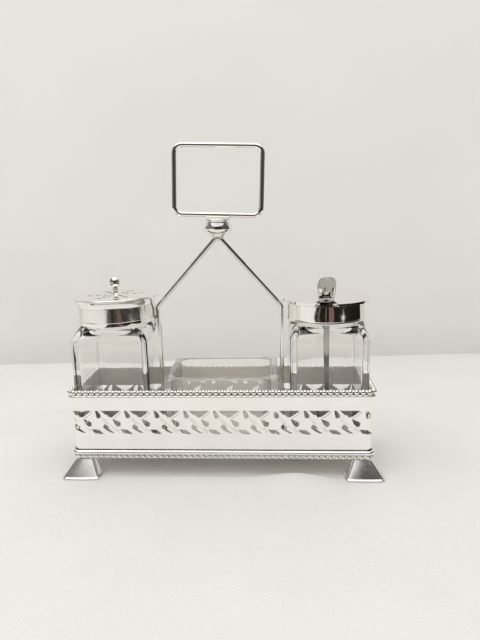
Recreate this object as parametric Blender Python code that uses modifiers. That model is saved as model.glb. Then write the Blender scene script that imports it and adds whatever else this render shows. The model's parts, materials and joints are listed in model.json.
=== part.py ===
"""A table cruet set: a pierced gallery on four feet with a wire handle, a glass pepper pot and a glass
mustard pot with metal tops, a mustard spoon, and an open glass salt between them.

Axes: +X runs along the stand, +Y towards its rear, +Z up. The origin is the middle of the footprint on
the table. Driving dimensions are millimetres, and mm() turns them into metres."""

import math

import bmesh
import bpy
from mathutils import Matrix, Vector

# --- general -----------------------------------------------------------------------------------------
GAP = 0.3  # clearance between neighbouring pieces
TURNED_STEPS = 32  # sides of a large turned piece
SMALL_STEPS = 20  # sides of a small turned piece
CORNER_STEPS = 5  # segments in a rounded corner
HOLE_STEPS = 16  # sides of a hole for the handle wire
WIRE_ROUNDNESS = 3  # Blender's bevel resolution for round wire
SMALLEST_CORNER = 0.5  # radius left on a rounded outline that has been inset
WELD = 0.002  # points of a filled curve closer than this are one

# --- gallery -----------------------------------------------------------------------------------------
RIM_HALF = (76.0, 22.2)  # half length and half depth over the bead moulding
RIM_CORNER = 4.0
RIM_PROFILE = (  # inset from the outside and height: the lip, the half round of the beads, the inner face
    (0.9, 41.3), (0.7, 42.2), (0.25, 42.6), (0.0, 43.2), (0.0, 44.1), (0.4, 44.75), (1.1, 45.0),
    (2.0, 44.8), (2.5, 44.2), (2.5, 41.3),
)
WALL_HALF = (74.3, 20.5)
WALL_CORNER = 3.0
WALL_THICK = 0.8
WALL_LOW = 9.6
WALL_TOP = 41.0
BORDER_PROFILE = (  # the twisted band below, a groove, and the plain half round above
    (0.9, 9.0), (0.35, 9.4), (0.3, 10.3), (0.65, 11.2), (0.2, 11.6), (0.0, 12.3), (0.25, 13.0), (0.8, 13.4),
    (1.4, 13.4), (1.4, 9.0),
)
BASE_LOW = 10.0
BASE_TOP = 11.0

# --- piercing, one repeat of the rolled pattern: right and down from its top line ----------------------
PIERCE_TOP = 34.2
PIERCE_PITCH = 14.8
PIERCE_REPEATS_FRONT = 11
PIERCE_REPEATS_END = 3
PIERCE_START = -76.8
PIERCE_FRONT_LIMIT = 73.3  # openings stop short of the corner by this
PIERCE_END_LIMIT = 18.6
PIERCE_DEPTH = 1.6  # half depth of the punch
PIERCE_SHAPES = (
    ((0.0, 0.0), (1.3, 0.0), (2.9, 2.4), (2.7, 3.9), (0.8, 4.1)),
    (
        (2.7, 0.0), (12.8, 0.0), (12.4, 0.5), (8.6, 3.4), (7.6, 3.6), (6.7, 3.4), (6.3, 2.4), (5.4, 2.4),
        (4.7, 1.9),
    ),
    ((9.0, 4.4), (11.1, 5.6), (12.8, 6.3), (12.6, 7.8), (11.2, 8.3), (10.1, 7.2)),
    (
        (4.7, 7.0), (7.0, 8.6), (6.3, 9.3), (7.6, 10.5), (9.5, 11.8), (7.9, 11.8), (5.8, 10.7), (4.0, 9.4),
        (3.6, 8.5),
    ),
    ((-1.3, 9.8), (-0.2, 10.1), (2.2, 10.1), (4.9, 12.2), (3.2, 12.2), (0.0, 11.7)),
)

# --- feet, for the right rear corner: each level is height, x from, x to, y from, y to, corner radius ----
FOOT_SHEET = 0.7
FOOT_LEVELS = (
    (8.7, 65.4, 73.8, 17.0, 21.2, 1.2),
    (4.6, 63.1, 77.1, 19.3, 24.2, 1.7),
    (0.5, 60.9, 79.8, 21.7, 26.9, 2.0),
    (0.0, 60.9, 79.8, 21.7, 26.9, 2.0),
)
FOOT_CORNER_STEPS = 3
FOOT_INNER_CORNER = 0.8

# --- wire handle ---------------------------------------------------------------------------------------
LEG_RADIUS = 1.05
LEG_FOOT = (30.7, 6.4)  # x and height of the threaded end under the base
LEG_BEND = (32.1, 82.4)
LEG_BEND_RADIUS = 3.5
LEG_BEND_STEPS = 4
LEG_APEX = 118.9  # where the two diagonals would meet if the bend were sharp
LEG_APEX_RADIUS = 4.3
LEG_APEX_STEPS = 6
LEG_NUT_ACROSS = 5.0
LEG_NUT_LOW = 7.3
LOOP_RADIUS = 1.25
LOOP_HALF = 22.5
LOOP_LOW = 126.4
LOOP_LEAN = 2.4  # degrees about Y: it is soldered on a little askew
LOOP_TOP = 161.4
LOOP_CORNER = 4.0
KNOP_STEPS = 24
KNOP_PROFILE = (
    (0.0, 125.9), (5.8, 125.9), (6.5, 125.3), (6.5, 124.9), (6.1, 124.1), (6.15, 123.6), (6.5, 122.7),
    (6.6, 121.6), (6.3, 120.2), (5.5, 119.0), (4.3, 118.1), (3.3, 117.6), (3.3, 116.9), (0.0, 116.9),
)

# --- glass jars ----------------------------------------------------------------------------------------
JAR_X = 53.4
JAR_LOW = 11.3
JAR_HALF = 18.9
JAR_CANT = 1.6  # width taken off each upright corner of the square
JAR_INNER_CANT = 1.2
JAR_WALL = 3.2
JAR_FLOOR = 16.3
JAR_FLOOR_EDGE = 1.5  # the slope where the hollow's floor meets its sides
JAR_FOOT_CHAMFER = 0.6
JAR_SIDE_TOP = 68.0
JAR_SHOULDER_TOP = 74.5
JAR_INNER_SIDE_TOP = 67.6
JAR_INNER_SHOULDER_TOP = 71.3
JAR_NECK = 18.0
JAR_NECK_BORE = 15.8
JAR_TOP = 84.2
JAR_LIP = 0.6
JAR_SIDE_POINTS = 8
JAR_SHOULDER_STEPS = 4
JAR_INNER_SHOULDER_STEPS = 3

# --- pepper cap, measured from the middle of its top disc ------------------------------------------------
CAP_ORIGIN = (-53.2, 0.0, 89.06)
CAP_LEAN = (-1.1, -1.2)  # degrees about X and Y: it sits a little askew on the neck
CAP_BAND_PROFILE = (
    (19.3, -4.9), (19.3, -11.2), (19.65, -11.6), (19.65, -13.2), (19.45, -13.4), (18.75, -13.4),
    (18.75, -4.9),
)
CAP_TOP_PROFILE = (
    (1.2, 0.0), (21.3, 0.0), (21.84, -0.3), (21.84, -0.75), (21.4, -1.0), (20.1, -2.1), (19.5, -3.3),
    (19.3, -4.6), (18.75, -4.6), (18.75, -3.0), (18.2, -1.2), (17.6, -1.0), (1.2, -1.0),
)
CAP_SLOT_HALF = (1.2, 0.7)  # half length and half width, set along the radius
CAP_SLOT_CORNER = 0.65
CAP_SLOT_CORNER_STEPS = 2
CAP_SLOT_RINGS = (5.4, 9.2, 13.1)
CAP_SLOT_SPOKES = 6
CAP_SLOT_START = 8  # degrees
CAP_PUNCH = (-1.5, 0.5)
FINIAL_PROFILE = (
    (0.0, 9.3), (1.0, 9.15), (2.1, 8.5), (2.75, 7.4), (2.9, 6.4), (2.6, 5.1), (1.9, 4.1), (1.1, 3.6),
    (1.6, 3.25), (1.6, 2.95), (1.1, 2.75), (1.75, 2.4), (1.75, 2.1), (1.1, 1.8), (1.2, 0.9), (1.6, 0.3),
    (0.85, 0.3), (0.85, -1.3), (1.7, -1.3), (1.7, -1.9), (0.0, -1.9),
)

# --- mustard top -----------------------------------------------------------------------------------------
MUSTARD_X = 52.9
COLLAR_PROFILE = (
    (16.1, 85.1), (19.25, 85.1), (19.25, 78.0), (19.5, 77.7), (19.5, 76.1), (18.6, 76.1), (18.6, 84.5),
    (16.1, 84.5),
)
LID_RADIUS = 21.8
LID_LOW = 85.4
LID_TOP = 86.6
LID_NOTCH_X = -1.5  # middle of the spoon notch, from the middle of the lid
LID_NOTCH_WIDTH = 9.2
LID_NOTCH_EASE = 0.5  # degrees by which the rim stops short of the notch's corner
LID_NOTCH_REACH = 12.0  # how near to the middle the notch comes
LID_NOTCH_FLAT = 1.0  # how much shallower than a half circle its inner end is
LID_NOTCH_STEPS = 6
LID_STEPS = 44
LID_EDGE = 0.3
HINGE_Y = 23.5
HINGE_Z = 85.3
HINGE_RADIUS = 1.3
HINGE_STEPS = 16
HINGE_PIN_RADIUS = 0.5
HINGE_PIN_OVERHANG = 0.5
HINGE_BORE = 0.8
HINGE_BORE_STEPS = 12
HINGE_DRILL_OVERHANG = 1.0
HINGE_MID_HALF = 1.7
HINGE_END = 4.4
TONGUE_REACH = 4.5
TONGUE_LOW = 0.25  # above the hinge axis
BRACKET_FACE_Y = 19.6  # just off the collar
BRACKET_THICK = 1.0
BRACKET_LOW = 79.5
BRACKET_TOP = LID_LOW - 2 * GAP
BRACKET_ARM_SINK = 0.4  # how far an arm starts inside the upright

# --- spoon: distance up the stem, half width, half thickness, and forward set of the end -------------------
SPOON_TIP = (54.6, 6.5, 17.0)
SPOON_LEAN = (-0.040, -0.275, 0.960)
SPOON_SECTIONS = (
    (12.5, 1.3, 0.6, 0.0), (16.0, 1.25, 0.65, 0.0), (30.0, 1.3, 0.6, 0.0), (46.0, 1.4, 0.55, 0.0),
    (58.0, 1.75, 0.55, 0.0), (67.0, 2.7, 0.6, 0.2), (73.5, 3.55, 0.65, 0.9), (78.0, 4.15, 0.7, 1.9),
    (81.5, 4.3, 0.7, 2.9), (84.5, 4.0, 0.65, 3.8), (86.5, 2.9, 0.55, 4.4),
)
SPOON_SECTION_POINTS = 10
SPOON_BOWL = (5.4, 7.6, 3.4)  # half width, half length and depth
SPOON_BOWL_SHEET = 0.7
SPOON_BOWL_STEPS = (16, 8)  # round its rim, and from pole to pole
SPOON_BOWL_SINK = 0.2  # how far its lower end drops below the tip

# --- open salt -------------------------------------------------------------------------------------------
SALT_X = 0.67
SALT_TURN = 0.6  # degrees
SALT_HALF = (27.9, 18.75)
SALT_LOW = 11.3
SALT_TOP = 49.8
SALT_FLOOR = 18.5
SALT_WALL = 3.5
SALT_CORNER = 1.6
SALT_CORNER_STEPS = 3
SALT_WELL_CORNER = 5.0
SALT_WELL_FLOOR_RADIUS = 2.0
SALT_EDGE = 0.7
SALT_PUNCH_RISE = 4.0


def mm(value):
    return value * 0.001


def vec(x, y, z):
    return Vector((mm(x), mm(y), mm(z)))


def clear_scene():
    for old in list(bpy.data.objects):
        bpy.data.objects.remove(old, do_unlink=True)


def new_collection(name):
    group = bpy.data.collections.new(name)
    bpy.context.scene.collection.children.link(group)
    return group


def new_material(name, colour, metallic, roughness):
    made = bpy.data.materials.new(name)
    made.use_nodes = True
    shader = made.node_tree.nodes["Principled BSDF"]
    shader.inputs["Base Color"].default_value = (*colour, 1.0)
    shader.inputs["Metallic"].default_value = metallic
    shader.inputs["Roughness"].default_value = roughness
    return made


clear_scene()
PIECES = new_collection("cruet_set")
CUTTERS = new_collection("cutters")


def finish_piece(obj, material, smooth=False):
    """Puts a piece in the set's collection with its own copy of a material."""
    own = material.copy()
    own.name = obj.name + "_finish"
    obj.data.materials.clear()
    obj.data.materials.append(own)
    PIECES.objects.link(obj)
    if smooth and obj.type == "MESH":
        obj.data.polygons.foreach_set("use_smooth", [True] * len(obj.data.polygons))
    return obj


def as_cutter(obj):
    CUTTERS.objects.link(obj)
    obj.hide_render = True
    obj.display_type = "WIRE"
    return obj


def mesh_from(name, points, faces):
    mesh = bpy.data.meshes.new(name)
    mesh.from_pydata(points, [], faces)
    mesh.update()
    return bpy.data.objects.new(name, mesh)


def mesh_of_curve(curve_object):
    """The curve's surface as a welded mesh object in the same place; the curve goes."""
    PIECES.objects.link(curve_object)
    bpy.context.view_layer.update()
    seen = curve_object.evaluated_get(bpy.context.evaluated_depsgraph_get())
    mesh = bpy.data.meshes.new_from_object(seen)
    shape = bmesh.new()
    shape.from_mesh(mesh)
    bmesh.ops.remove_doubles(shape, verts=shape.verts, dist=mm(WELD))
    bmesh.ops.recalc_face_normals(shape, faces=shape.faces)
    shape.to_mesh(mesh)
    shape.free()
    name = curve_object.name
    place = curve_object.matrix_world.copy()
    bpy.data.objects.remove(curve_object, do_unlink=True)
    made = bpy.data.objects.new(name, mesh)
    made.matrix_world = place
    return made


def rounded_outline(half_x, half_y, radius, steps=CORNER_STEPS):
    """Corner points of a rounded rectangle about the origin, anticlockwise."""
    points = []
    for turn, (side_x, side_y) in enumerate(((1, 1), (-1, 1), (-1, -1), (1, -1))):
        for step in range(steps + 1):
            angle = math.radians(90 * (turn + step / steps))
            x = side_x * (half_x - radius) + radius * math.cos(angle)
            y = side_y * (half_y - radius) + radius * math.sin(angle)
            points.append((x, y))
    return points


def plate(name, outlines, low, high):
    """A flat solid between two heights. The first outline is its edge and the rest are holes in it."""
    curve = bpy.data.curves.new(name, "CURVE")
    curve.dimensions = "2D"
    curve.fill_mode = "BOTH"
    curve.extrude = mm(high - low) / 2
    for outline in outlines:
        spline = curve.splines.new("POLY")
        spline.points.add(len(outline) - 1)
        spline.use_cyclic_u = True
        for point, (x, y) in zip(spline.points, outline):
            point.co = (mm(x), mm(y), 0.0, 1.0)
    obj = bpy.data.objects.new(name, curve)
    obj.location = vec(0, 0, (low + high) / 2)
    return mesh_of_curve(obj)


def round_edges(obj, width, segments, angle=40):
    edge = obj.modifiers.new("rounded_edges", "BEVEL")
    edge.width = mm(width)
    edge.segments = segments
    edge.limit_method = "ANGLE"
    edge.angle_limit = math.radians(angle)


def combine(obj, other, operation):
    change = obj.modifiers.new(operation.lower(), "BOOLEAN")
    change.operation = operation
    change.solver = "EXACT"
    change.object = other


def box(x_low, y_low, x_high, y_high):
    """Corners of an upright rectangle, anticlockwise."""
    return [(x_low, y_low), (x_high, y_low), (x_high, y_high), (x_low, y_high)]


def circle(radius, count, centre=(0.0, 0.0)):
    points = []
    for step in range(count):
        angle = math.tau * step / count
        points.append((centre[0] + radius * math.cos(angle), centre[1] + radius * math.sin(angle)))
    return points


def turned(name, profile, steps, closed=False):
    """A piece turned about Z from a profile of radius and height, run down its outer side."""
    points = [vec(radius, 0, height) for radius, height in profile]
    edges = [(i, i + 1) for i in range(len(points) - 1)]
    if closed:
        edges.append((len(points) - 1, 0))
    mesh = bpy.data.meshes.new(name)
    mesh.from_pydata(points, edges, [])
    obj = bpy.data.objects.new(name, mesh)
    screw = obj.modifiers.new("turned", "SCREW")
    screw.axis = "Z"
    screw.steps = steps
    screw.render_steps = steps
    screw.use_merge_vertices = True
    screw.merge_threshold = 0.00001
    screw.use_smooth_shade = True
    return obj


def loft(name, rings, closed=False):
    """Joins rings of equal count in order, and caps both ends or, if closed, joins the last to the first."""
    points = [point for ring in rings for point in ring]
    count = len(rings[0])
    faces = []
    for level in range(len(rings) if closed else len(rings) - 1):
        start = level * count
        after = ((level + 1) % len(rings)) * count
        for i in range(count):
            j = (i + 1) % count
            faces.append((start + i, start + j, after + j, after + i))
    if not closed:
        faces.append(tuple(reversed(range(count))))
        faces.append(tuple(range((len(rings) - 1) * count, len(rings) * count)))
    obj = mesh_from(name, points, faces)
    shape = bmesh.new()
    shape.from_mesh(obj.data)
    bmesh.ops.recalc_face_normals(shape, faces=shape.faces)
    shape.to_mesh(obj.data)
    shape.free()
    return obj


def bend(start, corner, end, radius, steps):
    """Points of an arc that rounds the corner between two straight runs."""
    corner = Vector(corner)
    back = (Vector(start) - corner).normalized()
    ahead = (Vector(end) - corner).normalized()
    half = back.angle(ahead) / 2
    centre = corner + (back + ahead).normalized() * (radius / math.sin(half))
    first = corner + back * (radius / math.tan(half)) - centre
    last = corner + ahead * (radius / math.tan(half)) - centre
    return [centre + first.slerp(last, step / steps).normalized() * radius for step in range(steps + 1)]


def wire(name, points, radius, closed=False):
    """Round wire through points of x and height, in the plane of the handle."""
    curve = bpy.data.curves.new(name, "CURVE")
    curve.dimensions = "3D"
    curve.bevel_depth = mm(radius)
    curve.bevel_resolution = WIRE_ROUNDNESS
    curve.use_fill_caps = True
    spline = curve.splines.new("POLY")
    spline.points.add(len(points) - 1)
    spline.use_cyclic_u = closed
    for point, (x, z) in zip(spline.points, points):
        point.co = (*vec(x, 0, z), 1.0)
    return mesh_of_curve(bpy.data.objects.new(name, curve))


SILVER = new_material("silver_plate", (0.86, 0.85, 0.83), 1.0, 0.12)
SILVER_SATIN = new_material("silver_plate_satin", (0.80, 0.79, 0.77), 1.0, 0.25)
GLASS = new_material("cut_glass", (0.90, 0.93, 0.92), 0.0, 0.04)
STEEL = new_material("plain_steel", (0.55, 0.54, 0.52), 1.0, 0.35)


def ring_outline(half, corner, inset):
    return rounded_outline(half[0] - inset, half[1] - inset, max(corner - inset, SMALLEST_CORNER))


def moulding(name, profile):
    """A closed band round the gallery from a profile of inset and height."""
    rings = []
    for inset, height in profile:
        rings.append([vec(x, y, height) for x, y in ring_outline(RIM_HALF, RIM_CORNER, inset)])
    return loft(name, rings, closed=True)


def build_gallery():
    wall = plate(
        "gallery_wall",
        [ring_outline(WALL_HALF, WALL_CORNER, 0), ring_outline(WALL_HALF, WALL_CORNER, WALL_THICK)],
        WALL_LOW,
        WALL_TOP,
    )
    finish_piece(wall, SILVER)
    long_side = (PIERCE_REPEATS_FRONT, PIERCE_START, PIERCE_FRONT_LIMIT, WALL_HALF[1])
    end_start = -PIERCE_PITCH * PIERCE_REPEATS_END / 2
    short_side = (PIERCE_REPEATS_END, end_start, PIERCE_END_LIMIT, WALL_HALF[0])
    sides = (
        ("front", *long_side, 0),
        ("right", *short_side, 90),
        ("rear", *long_side, 180),
        ("left", *short_side, 270),
    )
    for side, repeats, start, limit, distance, turn in sides:
        outlines = []
        for repeat in range(repeats):
            for shape in PIERCE_SHAPES:
                outline = [(start + repeat * PIERCE_PITCH + across, -down) for across, down in shape]
                if all(abs(across) < limit for across, down in outline):
                    outlines.append(outline)
        punch = as_cutter(plate("punch_" + side, outlines, -PIERCE_DEPTH, PIERCE_DEPTH))
        stand_up = Matrix.Rotation(math.radians(90), 4, "X")
        outwards = Matrix.Translation(vec(0, -(distance - WALL_THICK), PIERCE_TOP))
        punch.matrix_world = Matrix.Rotation(math.radians(turn), 4, "Z") @ outwards @ stand_up
        combine(wall, punch, "DIFFERENCE")

    finish_piece(moulding("beaded_rim", RIM_PROFILE), SILVER)
    finish_piece(moulding("gadroon_border", BORDER_PROFILE), SILVER)

    inner = (WALL_HALF[0] - WALL_THICK, WALL_HALF[1] - WALL_THICK)
    inner_corner = WALL_CORNER - WALL_THICK
    floor_edge = rounded_outline(inner[0] - GAP, inner[1] - GAP, inner_corner)
    leg_holes = [circle(LEG_RADIUS + GAP, HOLE_STEPS, (side * LEG_FOOT[0], 0)) for side in (-1, 1)]
    base = plate("base_plate", [floor_edge, *leg_holes], BASE_LOW, BASE_TOP)
    finish_piece(base, SILVER_SATIN)


def foot_ring(level, inset, drop):
    height, x_from, x_to, y_from, y_to, corner = level
    half_x = (x_to - x_from) / 2 - inset
    half_y = (y_to - y_from) / 2 - inset
    middle = ((x_to + x_from) / 2, (y_to + y_from) / 2)
    outline = rounded_outline(half_x, half_y, max(corner - inset, FOOT_INNER_CORNER), FOOT_CORNER_STEPS)
    return [vec(middle[0] + x, middle[1] + y, height - drop) for x, y in outline]


def build_feet():
    """Four hollow flared feet, open below: the right rear one is lofted, the others are its mirror images."""
    corners = (
        ("right", "rear", 1, 1),
        ("left", "rear", -1, 1),
        ("left", "front", -1, -1),
        ("right", "front", 1, -1),
    )
    outside = [foot_ring(level, 0.0, 0.0) for level in FOOT_LEVELS]
    inside = [foot_ring(level, FOOT_SHEET, 0.0) for level in reversed(FOOT_LEVELS[1:])]
    inside.append(foot_ring(FOOT_LEVELS[0], FOOT_SHEET, FOOT_SHEET))
    for side, end, sign_x, sign_y in corners:
        rings = []
        for ring in outside + inside:
            rings.append([Vector((sign_x * point.x, sign_y * point.y, point.z)) for point in ring])
        finish_piece(loft("foot_" + end + "_" + side, rings), SILVER, smooth=True)


def leg_path():
    """Half of the wire's centre line is rounded at its bend and the apex, then mirrored."""
    foot = Vector(LEG_FOOT)
    corner = Vector(LEG_BEND)
    apex = Vector((0.0, LEG_APEX))
    right = [foot] + bend(foot, corner, apex, LEG_BEND_RADIUS, LEG_BEND_STEPS)
    over = bend(corner, apex, Vector((-corner.x, corner.y)), LEG_APEX_RADIUS, LEG_APEX_STEPS)
    left = [Vector((-point.x, point.y)) for point in reversed(right)]
    return right + over + left


def build_handle():
    legs = wire("handle_legs", leg_path(), LEG_RADIUS)
    finish_piece(legs, SILVER, smooth=True)
    for side, sign in (("left", -1), ("right", 1)):
        across = LEG_NUT_ACROSS / math.sqrt(3)
        hexagon = circle(across, 6, (sign * LEG_FOOT[0], 0))
        bore = circle(LEG_RADIUS + GAP, HOLE_STEPS, (sign * LEG_FOOT[0], 0))
        nut = plate("handle_nut_" + side, [hexagon, bore], LEG_NUT_LOW, BASE_LOW - GAP)
        finish_piece(nut, STEEL)
    knop = turned("handle_knop", KNOP_PROFILE, KNOP_STEPS)
    groove = wire("knop_groove", leg_path(), LEG_RADIUS + GAP)
    combine(knop, as_cutter(groove), "DIFFERENCE")
    finish_piece(knop, SILVER)
    half = LOOP_HALF - LOOP_RADIUS
    height = (LOOP_TOP - LOOP_LOW) / 2 - LOOP_RADIUS
    middle = (LOOP_TOP + LOOP_LOW) / 2
    outline = rounded_outline(half, height, LOOP_CORNER - LOOP_RADIUS)
    askew = Matrix.Rotation(math.radians(-LOOP_LEAN), 2)
    foot = Vector((0.0, LOOP_LOW))
    leaning = [foot + askew @ (Vector((x, middle + z)) - foot) for x, z in outline]
    loop = wire("handle_loop", leaning, LOOP_RADIUS, closed=True)
    finish_piece(loop, SILVER, smooth=True)


def canted_square(half, cant):
    """A square with its corners taken off, with points along each side, anticlockwise from the right side."""
    straight = half - cant
    points = []
    for turn in range(4):
        quarter = Matrix.Rotation(math.radians(90 * turn), 2)
        for step in range(JAR_SIDE_POINTS + 1):
            points.append(quarter @ Vector((half, straight * (2 * step / JAR_SIDE_POINTS - 1))))
    return points


def jar_rings():
    """Square sides, a rounded shoulder, a round neck, and the hollow inside, outer foot first."""
    outer = canted_square(JAR_HALF, JAR_CANT)
    foot = canted_square(JAR_HALF - JAR_FOOT_CHAMFER, JAR_CANT)
    inner = canted_square(JAR_HALF - JAR_WALL, JAR_INNER_CANT)
    inner_floor = canted_square(JAR_HALF - JAR_WALL - JAR_FLOOR_EDGE, JAR_INNER_CANT)
    neck = [point.normalized() * JAR_NECK for point in outer]
    bore = [point.normalized() * JAR_NECK_BORE for point in inner]

    def level(outline, height):
        return [vec(point.x, point.y, height) for point in outline]

    rings = [level(foot, JAR_LOW), level(outer, JAR_LOW + JAR_FOOT_CHAMFER), level(outer, JAR_SIDE_TOP)]
    rise = JAR_SHOULDER_TOP - JAR_SIDE_TOP
    for step in range(1, JAR_SHOULDER_STEPS + 1):
        angle = math.radians(90 * step / JAR_SHOULDER_STEPS)
        blend = [end.lerp(start, math.cos(angle)) for start, end in zip(outer, neck)]
        rings.append(level(blend, JAR_SIDE_TOP + rise * math.sin(angle)))
    rings.append(level(neck, JAR_TOP - JAR_LIP))
    rings.append(level([point * (1 - JAR_LIP / JAR_NECK) for point in neck], JAR_TOP))
    rings.append(level([point * (1 + JAR_LIP / JAR_NECK_BORE) for point in bore], JAR_TOP))
    rings.append(level(bore, JAR_TOP - JAR_LIP))
    drop = JAR_INNER_SHOULDER_TOP - JAR_INNER_SIDE_TOP
    for step in range(JAR_INNER_SHOULDER_STEPS + 1):
        angle = math.radians(90 * step / JAR_INNER_SHOULDER_STEPS)
        blend = [start.lerp(end, math.sin(angle)) for start, end in zip(bore, inner)]
        rings.append(level(blend, JAR_INNER_SIDE_TOP + drop * math.cos(angle)))
    rings.append(level(inner, JAR_FLOOR + JAR_FLOOR_EDGE))
    rings.append(level(inner_floor, JAR_FLOOR))
    return rings


def build_jars():
    first = loft("pepper_jar", jar_rings())
    first.location = vec(-JAR_X, 0, 0)
    finish_piece(first, GLASS)
    second = bpy.data.objects.new("mustard_jar", first.data.copy())
    second.location = vec(JAR_X, 0, 0)
    finish_piece(second, GLASS)


def build_pepper_cap():
    axis = bpy.data.objects.new("pepper_cap_axis", None)
    axis.location = vec(*CAP_ORIGIN)
    axis.rotation_euler = (math.radians(CAP_LEAN[0]), math.radians(CAP_LEAN[1]), 0.0)
    PIECES.objects.link(axis)
    band = turned("pepper_cap_band", CAP_BAND_PROFILE, TURNED_STEPS, closed=True)
    top = turned("pepper_cap_top", CAP_TOP_PROFILE, TURNED_STEPS, closed=True)
    finial = turned("pepper_finial", FINIAL_PROFILE, SMALL_STEPS)
    slots = []
    for spoke in range(CAP_SLOT_SPOKES):
        across = Matrix.Rotation(math.radians(CAP_SLOT_START + 360 * spoke / CAP_SLOT_SPOKES), 2)
        for ring in CAP_SLOT_RINGS:
            slot = rounded_outline(*CAP_SLOT_HALF, CAP_SLOT_CORNER, CAP_SLOT_CORNER_STEPS)
            slots.append([across @ Vector((ring + x, y)) for x, y in slot])
    punch = as_cutter(plate("shaker_punch", slots, *CAP_PUNCH))
    punch.parent = axis
    combine(top, punch, "DIFFERENCE")
    for piece in (band, top, finial):
        piece.parent = axis
        finish_piece(piece, SILVER)


def hinge_tube(name, low, high, radius, count):
    """A cylinder along X about the hinge axis, in the frame of the hinge's own origin."""
    tube = plate(name, [circle(radius, count)], low, high)
    tube.matrix_world = Matrix.Rotation(math.radians(90), 4, "Y") @ tube.matrix_world
    return tube


def at_hinge(obj):
    obj.matrix_world = Matrix.Translation(vec(MUSTARD_X, HINGE_Y, HINGE_Z)) @ obj.matrix_world
    return obj


def build_mustard_top():
    collar = turned("mustard_collar", COLLAR_PROFILE, TURNED_STEPS, closed=True)
    collar.location = vec(MUSTARD_X, 0, 0)
    finish_piece(collar, SILVER)

    half = LID_NOTCH_WIDTH / 2
    angle_from = math.atan2(-LID_RADIUS, LID_NOTCH_X + half) + math.radians(LID_NOTCH_EASE)
    angle_to = math.atan2(-LID_RADIUS, LID_NOTCH_X - half) + math.tau
    outline = []
    for step in range(LID_STEPS + 1):
        angle = angle_from + (angle_to - angle_from) * step / LID_STEPS
        outline.append((LID_RADIUS * math.cos(angle), LID_RADIUS * math.sin(angle)))
    bottom = half - LID_NOTCH_FLAT
    outline.append((LID_NOTCH_X - half, -LID_NOTCH_REACH - bottom))
    for step in range(1, LID_NOTCH_STEPS):
        angle = math.radians(180 * (1 - step / LID_NOTCH_STEPS))
        x = LID_NOTCH_X + half * math.cos(angle)
        outline.append((x, -LID_NOTCH_REACH - bottom + bottom * math.sin(angle)))
    outline.append((LID_NOTCH_X + half, -LID_NOTCH_REACH - bottom))
    about_hinge = [(x, y - HINGE_Y) for x, y in outline]
    lid = plate("mustard_lid", [about_hinge], LID_LOW - HINGE_Z, LID_TOP - HINGE_Z)
    lid.data.transform(lid.matrix_world)
    lid.matrix_world = Matrix.Identity(4)
    round_edges(lid, LID_EDGE, 1, 60)
    tongue_edge = box(-HINGE_MID_HALF, -TONGUE_REACH, HINGE_MID_HALF, 0.0)
    tongue = plate("lid_tongue", [tongue_edge], TONGUE_LOW, HINGE_RADIUS)
    barrel = hinge_tube("lid_barrel", -HINGE_MID_HALF, HINGE_MID_HALF, HINGE_RADIUS, HINGE_STEPS)
    drill_end = HINGE_END + HINGE_DRILL_OVERHANG
    drill = hinge_tube("hinge_drill", -drill_end, drill_end, HINGE_BORE, HINGE_BORE_STEPS)
    for cutter in (tongue, barrel, drill):
        as_cutter(at_hinge(cutter))
    combine(lid, tongue, "UNION")
    combine(lid, barrel, "UNION")
    combine(lid, drill, "DIFFERENCE")
    finish_piece(at_hinge(lid), SILVER)

    face = BRACKET_FACE_Y - HINGE_Y
    top = BRACKET_TOP - HINGE_Z
    upright = box(-HINGE_END, face, HINGE_END, face + BRACKET_THICK)
    bracket = plate("mustard_hinge_bracket", [upright], BRACKET_LOW - HINGE_Z, top)
    ends = (("left", -HINGE_END, -HINGE_MID_HALF - GAP), ("right", HINGE_MID_HALF + GAP, HINGE_END))
    for side, low, high in ends:
        arm = plate("bracket_arm_" + side, [box(low, face + BRACKET_ARM_SINK, high, 0.0)], -HINGE_RADIUS, top)
        ear = hinge_tube("bracket_ear_" + side, low, high, HINGE_RADIUS, HINGE_STEPS)
        for part in (arm, ear):
            as_cutter(at_hinge(part))
            combine(bracket, part, "UNION")
    combine(bracket, drill, "DIFFERENCE")
    finish_piece(at_hinge(bracket), SILVER)

    pin_end = HINGE_END + HINGE_PIN_OVERHANG
    pin = hinge_tube("mustard_hinge_pin", -pin_end, pin_end, HINGE_PIN_RADIUS, HINGE_BORE_STEPS)
    finish_piece(at_hinge(pin), STEEL)


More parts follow.
